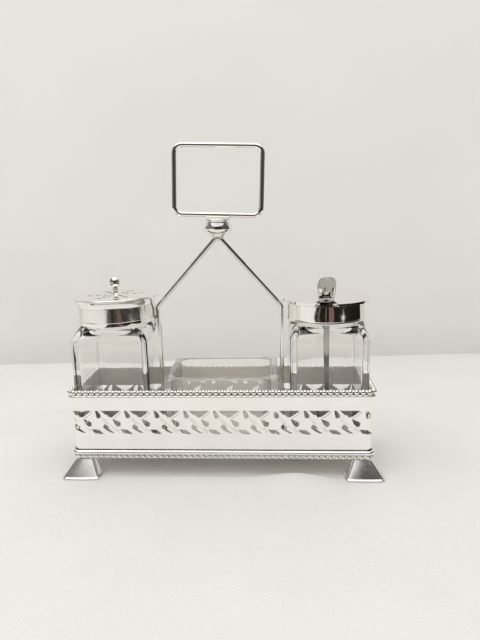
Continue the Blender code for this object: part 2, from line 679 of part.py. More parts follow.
def build_spoon():
    """A flat tapering stem that broadens to its end, joined to an oval bowl."""
    lean = Vector(SPOON_LEAN).normalized()
    across = Vector((0, -1, 0)).cross(lean).normalized() * -1
    forward = lean.cross(across).normalized()
    if forward.y > 0:
        forward = -forward
    tip = Vector(SPOON_TIP)
    rings = []
    for along, half_width, half_thick, ahead in reversed(SPOON_SECTIONS):
        middle = tip + lean * along + forward * ahead
        ring = []
        for step in range(SPOON_SECTION_POINTS):
            angle = math.tau * step / SPOON_SECTION_POINTS
            point = middle + across * half_width * math.cos(angle) + forward * half_thick * math.sin(angle)
            ring.append(vec(*point))
        rings.append(ring)
    spoon = loft("mustard_spoon", rings)

    width, length, depth = SPOON_BOWL
    shape = bmesh.new()
    round_steps, pole_steps = SPOON_BOWL_STEPS
    bmesh.ops.create_uvsphere(shape, u_segments=round_steps, v_segments=pole_steps, radius=1.0)
    bmesh.ops.scale(shape, vec=vec(width, length, depth), verts=shape.verts)
    above = [v for v in shape.verts if v.co.z > mm(0.01)]
    bmesh.ops.delete(shape, geom=above, context="VERTS")
    mesh = bpy.data.meshes.new("spoon_bowl")
    shape.to_mesh(mesh)
    shape.free()
    bowl = bpy.data.objects.new("spoon_bowl", mesh)
    sheet = bowl.modifiers.new("sheet", "SOLIDIFY")
    sheet.thickness = mm(SPOON_BOWL_SHEET)
    sheet.offset = 1.0
    turn = Matrix((across, lean, forward)).transposed().to_4x4()
    bowl.matrix_world = Matrix.Translation(vec(*(tip + lean * (length - SPOON_BOWL_SINK)))) @ turn
    as_cutter(bowl)
    combine(spoon, bowl, "UNION")
    finish_piece(spoon, SILVER)


def build_salt():
    edge = rounded_outline(*SALT_HALF, SALT_CORNER, SALT_CORNER_STEPS)
    body = plate("salt_cellar", [edge], SALT_LOW, SALT_TOP)
    round_edges(body, SALT_EDGE, 2)
    well_half = (SALT_HALF[0] - SALT_WALL, SALT_HALF[1] - SALT_WALL)
    well_edge = rounded_outline(*well_half, SALT_WELL_CORNER)
    well = plate("salt_well", [well_edge], SALT_FLOOR, SALT_TOP + SALT_PUNCH_RISE)
    round_edges(well, SALT_WELL_FLOOR_RADIUS, 2)
    place = Matrix.Translation(vec(SALT_X, 0, 0)) @ Matrix.Rotation(math.radians(SALT_TURN), 4, "Z")
    body.matrix_world = place @ body.matrix_world
    well.matrix_world = place @ well.matrix_world
    combine(body, as_cutter(well), "DIFFERENCE")
    finish_piece(body, GLASS)


build_gallery()
build_feet()
build_handle()
build_jars()
build_pepper_cap()
build_mustard_top()
build_spoon()
build_salt()
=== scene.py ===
"""The looks of a silver-plated cruet set: a pierced gallery with a wire handle, a glass pepper pot, a
lidded glass mustard pot with its spoon, and an open glass salt.

Lengths are millimetres in the shared frame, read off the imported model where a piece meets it, and mm()
turns them into metres. +X runs along the stand, +Y to its rear and +Z up."""

import json
import math

import bmesh
import bpy
from mathutils import Matrix, Vector


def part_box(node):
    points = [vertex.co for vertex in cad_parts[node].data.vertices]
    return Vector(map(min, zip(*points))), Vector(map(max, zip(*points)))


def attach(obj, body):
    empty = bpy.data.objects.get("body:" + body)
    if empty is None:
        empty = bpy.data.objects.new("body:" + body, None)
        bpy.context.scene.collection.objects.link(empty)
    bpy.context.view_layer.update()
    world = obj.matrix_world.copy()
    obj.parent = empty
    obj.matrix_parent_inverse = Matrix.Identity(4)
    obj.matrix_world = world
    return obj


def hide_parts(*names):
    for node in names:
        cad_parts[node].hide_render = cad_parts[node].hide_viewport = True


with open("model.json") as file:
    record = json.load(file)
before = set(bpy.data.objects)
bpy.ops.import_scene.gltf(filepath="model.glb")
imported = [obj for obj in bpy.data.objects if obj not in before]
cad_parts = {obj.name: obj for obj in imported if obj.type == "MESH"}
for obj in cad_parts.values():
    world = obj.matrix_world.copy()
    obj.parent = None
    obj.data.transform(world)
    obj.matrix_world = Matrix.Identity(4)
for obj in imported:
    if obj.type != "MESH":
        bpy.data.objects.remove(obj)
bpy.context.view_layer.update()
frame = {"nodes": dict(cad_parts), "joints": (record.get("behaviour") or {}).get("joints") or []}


def mm(value):
    return value * 0.001


def vec(x, y, z):
    return Vector((mm(x), mm(y), mm(z)))


def node_box(node):
    """A CAD node's lowest and highest corner in millimetres."""
    low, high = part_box(node)
    return Vector(low) * 1000, Vector(high) * 1000


# --- sizes read off the frame ---
RIM_LOW, RIM_HIGH = node_box("beaded_rim")
WALL_LOW, WALL_HIGH = node_box("gallery_wall")
BORDER_LOW, BORDER_HIGH = node_box("gadroon_border")
LEGS_LOW, LEGS_HIGH = node_box("handle_legs")
LOOP_HIGH = node_box("handle_loop")[1]
COLLAR_LOW, COLLAR_HIGH = node_box("mustard_collar")
SALT_LOW, SALT_HIGH = node_box("salt_cellar")
JOINTS = {joint["name"]: joint for joint in frame["joints"]}
HINGE_Y, HINGE_Z = (value * 1000 for value in JOINTS["mustard_lid_hinge"]["pos_m"][1:])

# --- general sizes ---
SMOOTH_STEPS = 12
SAME_PLACE = 1e-7  # metres within which two places are one
SMALLEST_CORNER = 0.3  # radius left on a rounded outline that has been inset
WELD = 0.002  # points of a filled outline closer than this are one
SEAM_WELD = 0.004
UPRIGHT = 0.5  # a face whose normal rises less than this counts as upright
GALLERY_RATIO = 3.0  # roughly its length over its depth

# --- gallery sizes ---
WALL_THICK = 0.8
WALL_CORNER = 3.0
PIERCE_TOP = 34.2
PIERCE_PITCH = 14.72
PIERCE_REPEATS = 25
PIERCE_FIRST = -3.45  # start of the repeat at the middle of the front
PIERCE_SEAM = 11.5  # the strip starts a pitch before this place in the first repeat, clear of its openings
PIERCE_SHAPES = (  # openings of one repeat: right of its start and down from its top line
    ((0.0, 0.0), (1.3, 0.0), (2.9, 2.4), (2.7, 3.9), (0.8, 4.1)),
    (
        (2.7, 0.0), (12.8, 0.0), (12.4, 0.5), (8.6, 3.4), (7.6, 3.6), (6.7, 3.4), (6.3, 2.4), (5.4, 2.4),
        (4.7, 1.9),
    ),
    ((8.5, 4.2), (10.8, 5.2), (12.7, 6.1), (12.6, 8.0), (11.1, 8.6), (9.6, 7.1)),
    (
        (4.7, 7.0), (7.0, 8.6), (6.3, 9.3), (7.6, 10.5), (9.5, 11.8), (7.9, 11.8), (5.8, 10.7), (4.0, 9.4),
        (3.6, 8.5),
    ),
    ((-2.4, 9.7), (-1.0, 9.9), (1.3, 10.0), (3.9, 12.3), (2.2, 12.4), (-0.9, 11.9)),
)
PIERCE_FILLET = 0.2
ENGRAVED_LINES = (
    ((2.0, 0.0), (2.9, 2.5), (6.5, 6.4), (9.7, 9.9), (11.9, 11.9)),
    ((3.4, 4.4), (4.4, 5.6), (6.3, 7.2)),
    ((13.3, 0.6), (11.2, 2.7), (9.3, 4.0)),
    ((9.9, 8.9), (11.6, 10.4), (13.6, 11.2)),
)
ENGRAVED_RADIUS = 0.13
ENGRAVED_STAND = 0.35  # the tool's middle stands this share of its radius off the wall
RIM_CORNER = 4.0
RIM_LIP = ((1.0, 0.0), (0.6, 0.08), (0.42, 0.4), (0.55, 0.75), (0.85, 0.95))  # inset, and rise from the foot
RIM_BACK = (  # inset, and drop from the top, behind the beads
    (1.0, 1.7), (1.2, 1.1), (1.6, 0.7), (1.85, 0.6), (2.35, 0.6), (2.5, 0.75),
)
RIM_SKIRT = (2.5, 1.8, 1.7)  # insets of its inside, its outside and the back of the lip
RIM_SKIRT_CLEAR = 0.02  # between the rim's inner skirt and the wall's top
RIM_INNER_INSET = 2.3
BEAD_STEPS = (12, 20)  # from pole to pole, and round
BEAD_PITCH = 3.07
BEAD_RADIUS = 1.36
BEAD_INSET = 1.4  # bead centre, in from the outside of the rim
HALF_ROUND = ((0.75, -0.3), (0.4, 0.0), (0.15, 0.35), (0.02, 0.8), (0.0, 1.2), (0.15, 1.6))  # inset and rise
BORDER_CLEAR = 0.3  # between the border and the wall
HALF_ROUND_LOW = 2.35  # its lower edge, up from the foot of the border
HALF_ROUND_TOP = (0.5, 0.15, 0.95)  # inset and drop of its shoulder, and inset of its top
ROPE_PITCH = 3.0
ROPE_RADIUS = 1.25
ROPE_INSET = 0.05
ROPE_STRANDS = 3
ROPE_WAIST = 0.56  # least radius, as a share of the greatest
ROPE_FULLNESS = 0.65  # the lower, the rounder the strands
ROPE_DEPTH = 0.95  # it is a little flat across the wall
ROPE_STEPS = (9, 18)  # along each lobe, and round
BEND_CUTS = 8  # cuts across the wall's sheet in each of its corners

# --- handle wire sizes: a pair is x and height ---
LEG_FOOT_X = 30.7
LEG_BEND_RIGHT = (31.0, 82.3)
LEG_BEND_LEFT = (-32.4, 82.3)
LEG_BEND_RADIUS = 3.5
LEG_APEX = (-0.2, 117.7)
LEG_APEX_RADIUS = 2.6
LEG_SLEEVE_LOW = 103.0
LEG_SLEEVE = 0.15  # how much thicker the wire is above that
LEG_SLEEVE_STEP = 0.4  # length over which it thickens
WIRE_SIDES = 28
KNOP = (  # radius and height; a point given twice is a corner
    (0.0, 125.9), (5.6, 125.9), (5.6, 125.9), (6.2, 125.75), (6.45, 125.4), (6.35, 125.0), (6.05, 124.5),
    (6.1, 124.0), (6.5, 123.2), (6.95, 122.1), (7.0, 121.0), (6.7, 120.0), (6.0, 119.1), (5.0, 118.35),
    (4.0, 117.8), (3.4, 117.4), (3.2, 117.15), (3.2, 116.9), (3.2, 116.9), (0.0, 116.9),
)
KNOP_CLEAR = 0.12  # between the knop and the wire in it

# --- carrying loop sizes, before it is leant ---
LOOP_HALF = 22.5
LOOP_BOTTOM = 126.4
LOOP_TOP = 161.4
LOOP_LEAN = 2.4  # degrees: it is soldered on a little askew
LOOP_CORNER = 5.2

# --- foot sizes ---
FOOT_TOP_X = (65.4, 73.8)
FOOT_TOP_Y = (17.0, 21.2)
FOOT_SHEET = 0.8
FOOT_CORNER = (2.0, 1.2)  # at the table and at the top
FOOT_LIP = 0.4  # how far the rolled lip stands out from the face
FOOT_LIP_HEIGHT = 0.9
FOOT_BULGE = 0.35  # the faces are a little full in the middle
FOOT_STEPS = 14
FOOT_SMALLEST_CORNER = 0.5
FOOT_EASE = 0.1  # inset of the face where it meets the lip, and drop of the inside
FOOT_TOP_INSET = 0.4
FOOT_EDGE = ((0.12, 0.8), (0.02, 0.62), (0.0, 0.4), (0.05, 0.15), (0.25, 0.0), (0.7, 0.0))  # inset and height

# --- glass sizes ---
JAR_WALL = 3.2
JAR_FLOOR = 16.3
JAR_CORNER = 1.5
JAR_INNER_CORNER = 0.7
JAR_SIDE_TOP = 67.5
JAR_SHOULDER_TOP = 74.5
JAR_INNER_SIDE_TOP = 67.6
JAR_INNER_SHOULDER_TOP = 71.3
JAR_NECK = 18.0
JAR_NECK_BORE = 15.8
JAR_SHOULDER_STEPS = 12
JAR_NECK_RISE = 0.6  # the neck is straight from this far above the shoulder
JAR_BORE_RISE = 1.5  # and its bore from this far above the inner shoulder
JAR_FOOT_EDGE = ((0.0, 1.4), (0.12, 0.8), (0.45, 0.25), (1.0, 0.0))  # rise and inset
JAR_LIP_OUTER = ((0.7, 0.0), (0.25, 0.15), (0.0, 0.7))  # drop and inset
JAR_LIP_INNER = ((0.0, -0.7), (0.25, -0.15), (0.7, 0.0))
JAR_FLOOR_EDGE = ((2.0, 0.0), (0.9, 0.3), (0.3, 1.0), (0.05, 2.0), (0.0, 3.0))
SALT_HALF = (27.9, 18.75)
SALT_CORNER = 1.6
SALT_TURN = 0.6  # degrees
SALT_WALL = 3.5
SALT_FLOOR = 18.5
SALT_WELL_CORNER = 5.0
SALT_FOOT_EDGE = ((1.2, 0.0), (0.5, 0.2), (0.1, 0.7), (0.0, 1.2))  # inset and rise
SALT_TOP_EDGE = ((0.0, 1.0), (0.12, 0.45), (0.45, 0.12), (0.95, 0.0))  # inset and drop
SALT_WELL_EDGE = ((-0.8, 0.0), (-0.35, 0.12), (-0.08, 0.4), (0.0, 0.9))
SALT_WELL_FLOOR = ((0.3, 6.0), (0.5, 3.0), (1.0, 1.4), (2.0, 0.4), (3.4, 0.0))

# --- pepper cap sizes ---
# Profiles are radius and height from the middle of the top disc. A point given twice is a corner.
CAP_PLACE = (-53.2, 0.0, 89.06)
CAP_LEAN = (-1.1, -1.2)  # degrees about X and Y
CAP_STEPS = 144
CAP_BAND = (
    (19.3, -4.65), (19.3, -11.2), (19.42, -11.3), (19.6, -11.38), (19.65, -11.5), (19.65, -13.15),
    (19.6, -13.3), (19.45, -13.4), (18.75, -13.4), (18.75, -4.65),
)
CAP_BAND_STEP = -11.35  # below this the band stands out
CAP_DISC = (
    (0.0, 0.0), (20.9, 0.0), (20.9, 0.0), (21.5, -0.08), (21.84, -0.4), (21.75, -0.8), (21.35, -1.02),
    (20.7, -1.5), (20.0, -2.3), (19.55, -3.2), (19.35, -4.0), (19.3, -4.6), (19.3, -4.6), (18.75, -4.6),
    (18.75, -4.6), (18.75, -3.0), (18.0, -1.2), (17.0, -1.0), (17.0, -1.0), (0.0, -1.0),
)
SHAKER_RINGS = (5.4, 9.2, 13.1)
SHAKER_ARMS = 6
SHAKER_START = 8  # degrees
SHAKER_SLOT = (1.2, 0.7, 0.68)  # half length, half width and corner
SHAKER_PUNCH = (-1.6, 0.6)  # its lowest and highest reach
FINIAL = (
    (0.0, 9.3), (0.75, 9.22), (1.6, 8.85), (2.35, 8.15), (2.8, 7.2), (2.9, 6.3), (2.7, 5.35), (2.15, 4.5),
    (1.4, 3.95), (1.05, 3.7), (1.05, 3.6), (1.45, 3.45), (1.65, 3.2), (1.6, 2.95), (1.15, 2.8), (1.1, 2.65),
    (1.55, 2.5), (1.8, 2.25), (1.65, 2.0), (1.15, 1.85), (1.05, 1.5), (1.15, 0.9), (1.6, 0.25), (1.7, 0.03),
    (1.7, 0.03), (0.0, 0.03),
)

# --- mustard top sizes ---
# The collar's top and underside are radius and drop, and its foot is radius and rise.
COLLAR_TOP = ((16.1, 0.0), (16.1, 0.0), (18.9, 0.0), (19.2, 0.15), (19.25, 0.4), (19.25, 0.4))
COLLAR_FOOT = (
    (19.25, 1.3), (19.25, 1.3), (19.4, 1.1), (19.5, 0.7), (19.48, 0.2), (19.35, 0.0), (19.35, 0.0),
    (18.6, 0.0), (18.6, 0.0),
)
COLLAR_UNDER = ((18.6, 0.6), (18.6, 0.6), (16.1, 0.6), (16.1, 0.6), (16.1, 0.0))
LID_RADIUS = 21.8
LID_UNDER = 85.4
LID_TOP = 86.6
LID_EDGE = 0.42
LID_STEPS = 160
NOTCH_X = -1.5  # middle of the spoon notch, from the middle of the lid
NOTCH_HALF = 4.6
NOTCH_REACH = 12.0  # how near to the middle it comes
NOTCH_FLAT = 1.0  # how much shallower than a half circle its inner end is
NOTCH_EASE = 0.5  # degrees by which the rim stops short of its corner
NOTCH_STEPS = 16
BARREL_RADIUS = 1.3
BARREL_HALF = 1.7
BARREL_BORE = 0.8
BARREL_DRILL_HALF = 6.0
TONGUE_REACH = 4.5
TONGUE_LOW = 0.25  # above the hinge axis

# --- spoon sizes ---
SPOON_TIP = (54.6, 6.5, 17.0)
SPOON_LEAN = (-0.040, -0.275, 0.960)
SPOON_SECTIONS = (  # distance up the stem, half width, half thickness, and forward set of the end
    (10.0, 1.0, 0.45, 0.0), (16.0, 1.25, 0.62, 0.0), (30.0, 1.3, 0.6, 0.0), (46.0, 1.4, 0.55, 0.0),
    (58.0, 1.75, 0.52, 0.0), (67.0, 2.7, 0.55, 0.2), (73.5, 3.55, 0.6, 0.9), (78.0, 4.15, 0.65, 1.9),
    (81.5, 4.3, 0.65, 2.9), (84.0, 4.1, 0.6, 3.65), (85.6, 3.5, 0.52, 4.15), (86.4, 2.6, 0.42, 4.35),
    (86.8, 1.5, 0.3, 4.45),
)
SPOON_STEPS = 40
SPOON_FULLNESS = 0.6  # the lower, the flatter the faces of the stem
# Lobes and valley: place and reach up the stem, place and reach across it, height.
SPOON_LOBES = (80.5, 3.4, 1.9, 1.1, 0.9)
SPOON_VALLEY = (74.5, 1.2, 0.0, 2.4, -0.6)
SPOON_RAISED = (62.0, 74.0)  # the raised edge and the ridge fade in between these
SPOON_EDGE = (0.93, 0.4, 0.28)  # place as a share of the half width, reach and height
SPOON_RIDGE = (72.0, 64.0, 0.5, 0.25)  # fades out between, then reach and height
SPOON_CLEFT = (82.0, 86.8, 0.6, 0.9)  # it deepens between, then reach across and depth
SPOON_BOWL = (5.4, 7.6, 3.4)  # half width, half length and depth
SPOON_BOWL_SHEET = 0.7
SPOON_BOWL_SINK = 0.2
SPOON_BOWL_STEPS = (48, 32)


# --- mesh helpers ---
def link(obj):
    """Puts an object in the scene unless it is there."""
    if obj.name not in bpy.context.scene.objects:
        bpy.context.scene.collection.objects.link(obj)
    return obj


def mesh_object(name, points, faces):
    mesh = bpy.data.meshes.new(name)
    mesh.from_pydata(points, [], faces)
    mesh.update()
    return bpy.data.objects.new(name, mesh)


def mesh_piece(name, points, faces, sharp=35.0):
    """A smooth-shaded mesh object, with edges sharper than the angle kept crisp."""
    return finish_mesh(mesh_object(name, points, faces), sharp)


def grid_faces(rows, columns):
    """Quads over an open grid that has one more point than squares each way."""
    faces = []
    for row in range(rows):
        for column in range(columns):
            first = row * (columns + 1) + column
            faces.append((first, first + 1, first + columns + 2, first + columns + 1))
    return faces


def taken_apart(obj):
    """The points and faces of a mesh object, which goes."""
    points = [vertex.co.copy() for vertex in obj.data.vertices]
    faces = [tuple(face.vertices) for face in obj.data.polygons]
    bpy.data.objects.remove(obj, do_unlink=True)
    return points, faces


def second_finish(obj, material, chosen):
    """Gives the faces that chosen picks out another material."""
    obj.data.materials.append(material)
    for face in obj.data.polygons:
        if chosen(face):
            face.material_index = 1


def finish_mesh(obj, sharp=35.0):
    shape = bmesh.new()
    shape.from_mesh(obj.data)
    bmesh.ops.recalc_face_normals(shape, faces=shape.faces)
    shape.to_mesh(obj.data)
    shape.free()
    obj.data.polygons.foreach_set("use_smooth", [True] * len(obj.data.polygons))
    obj.data.set_sharp_from_angle(angle=math.radians(sharp))
    return link(obj)


def flatten_shading(obj):
    """Keeps broad faces shading flat or truly round up to the small faces at their edges."""
    weights = obj.modifiers.new("weighted_normals", "WEIGHTED_NORMAL")
    weights.keep_sharp = True
    weights.weight = 90


def loft_faces(rings, count, joined=False):
    """Quads between successive rings of equal count; joined also closes the last ring to the first."""
    faces = []
    for level in range(rings if joined else rings - 1):
        here = level * count
        after = ((level + 1) % rings) * count
        for i in range(count):
            j = (i + 1) % count
            faces.append((here + i, here + j, after + j, after + i))
    return faces


def loft(name, rings, joined=False, sharp=35.0):
    count = len(rings[0])
    points = [point for ring in rings for point in ring]
    faces = loft_faces(len(rings), count, joined)
    if not joined:
        faces.append(tuple(range(count)))
        faces.append(tuple(range(len(points) - count, len(points))))
    return mesh_piece(name, points, faces, sharp)


def turned_mesh(profile, steps, closed=False):
    """Points and faces of a shape turned about Z. A radius of nought makes a pole."""
    points = []
    rows = []
    for radius, height in profile:
        if radius < 1e-6:
            rows.append([len(points)] * steps)
            points.append(vec(0, 0, height))
            continue
        rows.append(list(range(len(points), len(points) + steps)))
        for angle in sweep(steps, 0, 360)[:-1]:
            points.append(vec(radius * math.cos(angle), radius * math.sin(angle), height))
    faces = []
    for level in range(len(rows) if closed else len(rows) - 1):
        here = rows[level]
        after = rows[(level + 1) % len(rows)]
        for i in range(steps):
            j = (i + 1) % steps
            face = tuple(dict.fromkeys((here[i], here[j], after[j], after[i])))
            if len(face) > 2:
                faces.append(face)
    return points, faces


def turned(name, profile, steps=128, closed=False, sharp=35.0):
    points, faces = turned_mesh(profile, steps, closed)
    return mesh_piece(name, points, faces, sharp)


def smooth_through(points, steps=SMOOTH_STEPS):
    """A Catmull-Rom curve through the points. A point given twice stays a corner."""
    vectors = [Vector(point) for point in points]
    path = [vectors[0]]
    for i in range(len(vectors) - 1):
        start, end = vectors[i], vectors[i + 1]
        if (end - start).length < 1e-9:
            continue
        before = vectors[i - 1] if i > 0 else start
        after = vectors[i + 2] if i + 2 < len(vectors) else end
        for step in range(1, steps + 1):
            t = step / steps
            path.append(0.5 * (
                2 * start
                + (end - before) * t
                + (2 * before - 5 * start + 4 * end - after) * t * t
                + (3 * start - before - 3 * end + after) * t * t * t
            ))
    return [tuple(point) for point in path]


def sweep(steps, start=0.0, end=90.0):
    """Angles in radians at even steps between two in degrees, with both ends."""
    return [math.radians(start + (end - start) * step / steps) for step in range(steps + 1)]


def rounded_outline(half_x, half_y, radius, steps=8):
    """Corner points of a rounded rectangle about the origin, anticlockwise."""
    points = []
    for turn, (side_x, side_y) in enumerate(((1, 1), (-1, 1), (-1, -1), (1, -1))):
        for angle in sweep(steps, 90 * turn, 90 * (turn + 1)):
            x = side_x * (half_x - radius) + radius * math.cos(angle)
            y = side_y * (half_y - radius) + radius * math.sin(angle)
            points.append((x, y))
    return points


def fillet(points, radius, steps=3):
    """A closed outline with its corners rounded."""
    made = []
    for i, corner in enumerate(points):
        corner = Vector(corner)
        to_before = Vector(points[i - 1]) - corner
        to_after = Vector(points[(i + 1) % len(points)]) - corner
        reach = min(radius, to_before.length * 0.4, to_after.length * 0.4)
        start = corner + to_before.normalized() * reach
        end = corner + to_after.normalized() * reach
        for step in range(steps + 1):
            t = step / steps
            made.append(tuple(start * (1 - t) ** 2 + corner * 2 * t * (1 - t) + end * t * t))
    return made


def plate_mesh(name, outlines, low, high):
    """A flat solid mesh object between two heights. The first outline is its edge, the rest are holes."""
    curve = bpy.data.curves.new(name, "CURVE")
    curve.dimensions = "2D"
    curve.fill_mode = "BOTH"
    curve.extrude = mm(high - low) / 2
    for outline in outlines:
        spline = curve.splines.new("POLY")
        spline.points.add(len(outline) - 1)
        spline.use_cyclic_u = True
        for point, (x, y) in zip(spline.points, outline):
            point.co = (mm(x), mm(y), 0.0, 1.0)
    holder = link(bpy.data.objects.new(name + "_outline", curve))
    bpy.context.view_layer.update()
    seen = holder.evaluated_get(bpy.context.evaluated_depsgraph_get())
    mesh = bpy.data.meshes.new_from_object(seen)
    bpy.data.objects.remove(holder, do_unlink=True)
    shape = bmesh.new()
    shape.from_mesh(mesh)
    bmesh.ops.remove_doubles(shape, verts=shape.verts, dist=mm(WELD))
    bmesh.ops.translate(shape, vec=vec(0, 0, (low + high) / 2), verts=shape.verts)
    shape.to_mesh(mesh)
    shape.free()
    mesh.name = name
    return bpy.data.objects.new(name, mesh)


def tube(name, path, radii, sides=24, closed=False, sharp=60.0):
    """Round wire along a path of points in metres, with one radius or a radius for each point."""
    count = len(path)
    if not isinstance(radii, (list, tuple)):
        radii = [radii] * count
    rings = []
    normal = None
    for i, point in enumerate(path):
        ahead = path[(i + 1) % count] if closed or i + 1 < count else point
        behind = path[i - 1] if closed or i > 0 else point
        along = (ahead - behind).normalized()
        if normal is None:
            normal = along.orthogonal().normalized()
        normal = (normal - along * normal.dot(along)).normalized()
        side = along.cross(normal)
        ring = []
        for angle in sweep(sides, 0, 360)[:-1]:
            ring.append(point + (normal * math.cos(angle) + side * math.sin(angle)) * mm(radii[i]))
        rings.append(ring)
    return loft(name, rings, joined=closed, sharp=sharp)


def apply_modifiers(obj):
    """Makes the object's modifiers real."""
    link(obj)
    bpy.context.view_layer.update()
    seen = obj.evaluated_get(bpy.context.evaluated_depsgraph_get())
    mesh = bpy.data.meshes.new_from_object(seen)
    obj.modifiers.clear()
    obj.data = mesh


def round_edges(obj, width, segments=2, angle=40.0):
    edge = obj.modifiers.new("rounded_edges", "BEVEL")
    edge.width = mm(width)
    edge.segments = segments
    edge.limit_method = "ANGLE"
    edge.angle_limit = math.radians(angle)
    edge.harden_normals = False


def cut(obj, cutter, operation="DIFFERENCE", solver="EXACT"):
    """Makes the Boolean real and removes the cutter."""
    link(obj)
    link(cutter)
    change = obj.modifiers.new("cut", "BOOLEAN")
    change.operation = operation
    change.solver = solver
    change.object = cutter
    apply_modifiers(obj)
    bpy.data.objects.remove(cutter, do_unlink=True)


def joined_meshes(parts):
    """One list of points and one of faces, from many."""
    points = []
    faces = []
    for part_points, part_faces in parts:
        start = len(points)
        points.extend(part_points)
        faces.extend(tuple(index + start for index in face) for face in part_faces)
    return points, faces


def place(obj, body, slot, nodes, material, flat=True):
    """Gives a piece its finish, hangs it on the body it rides on, and hides the CAD nodes it stands in for.
    """
    obj.data.materials.clear()
    obj.data.materials.append(material)
    if slot == "glass":
        obj.visible_shadow = False
    elif flat:
        flatten_shading(obj)
    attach(obj, body)
    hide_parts(*nodes)


# --- materials ---
class Nodes:
    """A short way to build a node tree."""

    def __init__(self, owner, shader="Principled BSDF"):
        self.tree = owner.node_tree
        self.shader = self.tree.nodes[shader]

    def add(self, kind, **settings):
        node = self.tree.nodes.new(kind)
        for key, value in settings.items():
            setattr(node, key, value)
        return node

    def link(self, output, target):
        self.tree.links.new(output, target)

    def coordinates(self, stretch=(1.0, 1.0, 1.0)):
        """Object coordinates in millimetres, stretched."""
        place_node = self.add("ShaderNodeTexCoord")
        scale = self.add("ShaderNodeMapping")
        scale.inputs["Scale"].default_value = [1000.0 * s for s in stretch]
        self.link(place_node.outputs["Object"], scale.inputs["Vector"])
        return scale.outputs["Vector"]

    def noise(self, scale, detail=3.0, stretch=(1.0, 1.0, 1.0), roughness=0.5):
        made = self.add("ShaderNodeTexNoise")
        made.inputs["Scale"].default_value = scale
        made.inputs["Detail"].default_value = detail
        made.inputs["Roughness"].default_value = roughness
        self.link(self.coordinates(stretch), made.inputs["Vector"])
        return made.outputs["Fac"]

    def ramp(self, value, stops):
        made = self.add("ShaderNodeValToRGB")
        colours = made.color_ramp
        while len(colours.elements) < len(stops):
            colours.elements.new(0.5)
        for element, (position, colour) in zip(colours.elements, stops):
            element.position = position
            element.color = (*colour, 1.0)
        self.link(value, made.inputs["Fac"])
        return made.outputs["Color"]

    def spread(self, value, low, high, start=0.3, end=0.7):
        """A noise value brought between two limits."""
        made = self.add("ShaderNodeMapRange")
        made.inputs["From Min"].default_value = start
        made.inputs["From Max"].default_value = end
        made.inputs["To Min"].default_value = low
        made.inputs["To Max"].default_value = high
        self.link(value, made.inputs["Value"])
        return made.outputs["Result"]

    def bump(self, height, strength, distance, below=None):
        made = self.add("ShaderNodeBump")
        made.inputs["Strength"].default_value = strength
        made.inputs["Distance"].default_value = mm(distance)
        self.link(height, made.inputs["Height"])
        if below is not None:
            self.link(below, made.inputs["Normal"])
        return made.outputs["Normal"]


def new_material(name):
    made = bpy.data.materials.new(name)
    made.use_nodes = True
    return made, Nodes(made)


def silver(name, bright, dull, rough_low, rough_high, ripple, rub=0.12, metal=1.0):
    """Worn silver plate: soft ripples from hand finishing, fine rubbing marks, and faint tarnish clouds."""
    made, nodes = new_material(name)
    shader = nodes.shader
    shader.inputs["Metallic"].default_value = metal
    clouds = nodes.noise(0.09, 4.0)
    nodes.link(nodes.ramp(clouds, ((0.35, dull), (0.62, bright))), shader.inputs["Base Color"])
    wear = nodes.noise(0.5, 5.0, roughness=0.65)
    nodes.link(nodes.spread(wear, rough_low, rough_high), shader.inputs["Roughness"])
    waves = nodes.bump(nodes.noise(0.12, 1.0), 0.35, ripple)
    rubbing = nodes.bump(nodes.noise(2.2, 3.0, (0.35, 1.0, 1.6)), rub, 0.02, waves)
    nodes.link(rubbing, shader.inputs["Normal"])
    return made


def clear_glass(name, tint, clear=1.0):
    """Pressed glass, fire polished: clear, a little wavy, with a faint haze of handling. A clear share below
    one mixes in the pale tint as a diffuse colour: painted light that brightens the glass.
    """
    made, nodes = new_material(name)
    shader = nodes.shader
    shader.inputs["Transmission Weight"].default_value = clear
    shader.inputs["IOR"].default_value = 1.5
    haze = nodes.noise(0.25, 4.0)
    nodes.link(nodes.spread(haze, 0.0, 0.03, 0.45, 0.75), shader.inputs["Roughness"])
    paler = tuple(min(1.0, channel + 0.015) for channel in tint)
    nodes.link(nodes.ramp(nodes.noise(0.06, 2.0), ((0.3, tint), (0.7, paler))), shader.inputs["Base Color"])
    waves = nodes.bump(nodes.noise(0.16, 1.5), 0.25, 0.12)
    nodes.link(waves, shader.inputs["Normal"])
    return made


SILVER_POLISHED = silver("silver_polished", (0.93, 0.915, 0.88), (0.90, 0.885, 0.84), 0.03, 0.09, 0.05)
SILVER_WORN = silver("silver_worn", (0.90, 0.885, 0.85), (0.84, 0.82, 0.77), 0.08, 0.17, 0.05)
SILVER_WALL = silver("silver_wall", (0.98, 0.965, 0.94), (0.95, 0.935, 0.90), 0.10, 0.20, 0.06)
SILVER_BORDER = silver("silver_border", (0.96, 0.945, 0.915), (0.90, 0.885, 0.85), 0.16, 0.26, 0.04)
SILVER_RIM = silver("silver_rim", (0.97, 0.955, 0.925), (0.92, 0.905, 0.87), 0.13, 0.19, 0.03, 0.05)
SILVER_FOOT = silver("silver_foot", (0.90, 0.89, 0.88), (0.80, 0.785, 0.77), 0.15, 0.22, 0.05, 0.03)
# The spoon's silver is painted dark grey: painted shade standing in for the dark room its faces reflect.
SILVER_SPOON_PAINTED_SHADE = silver("silver_spoon_painted_shade", (0.47, 0.455, 0.43), (0.38, 0.365, 0.345), 0.10, 0.17, 0.05, 0.05)
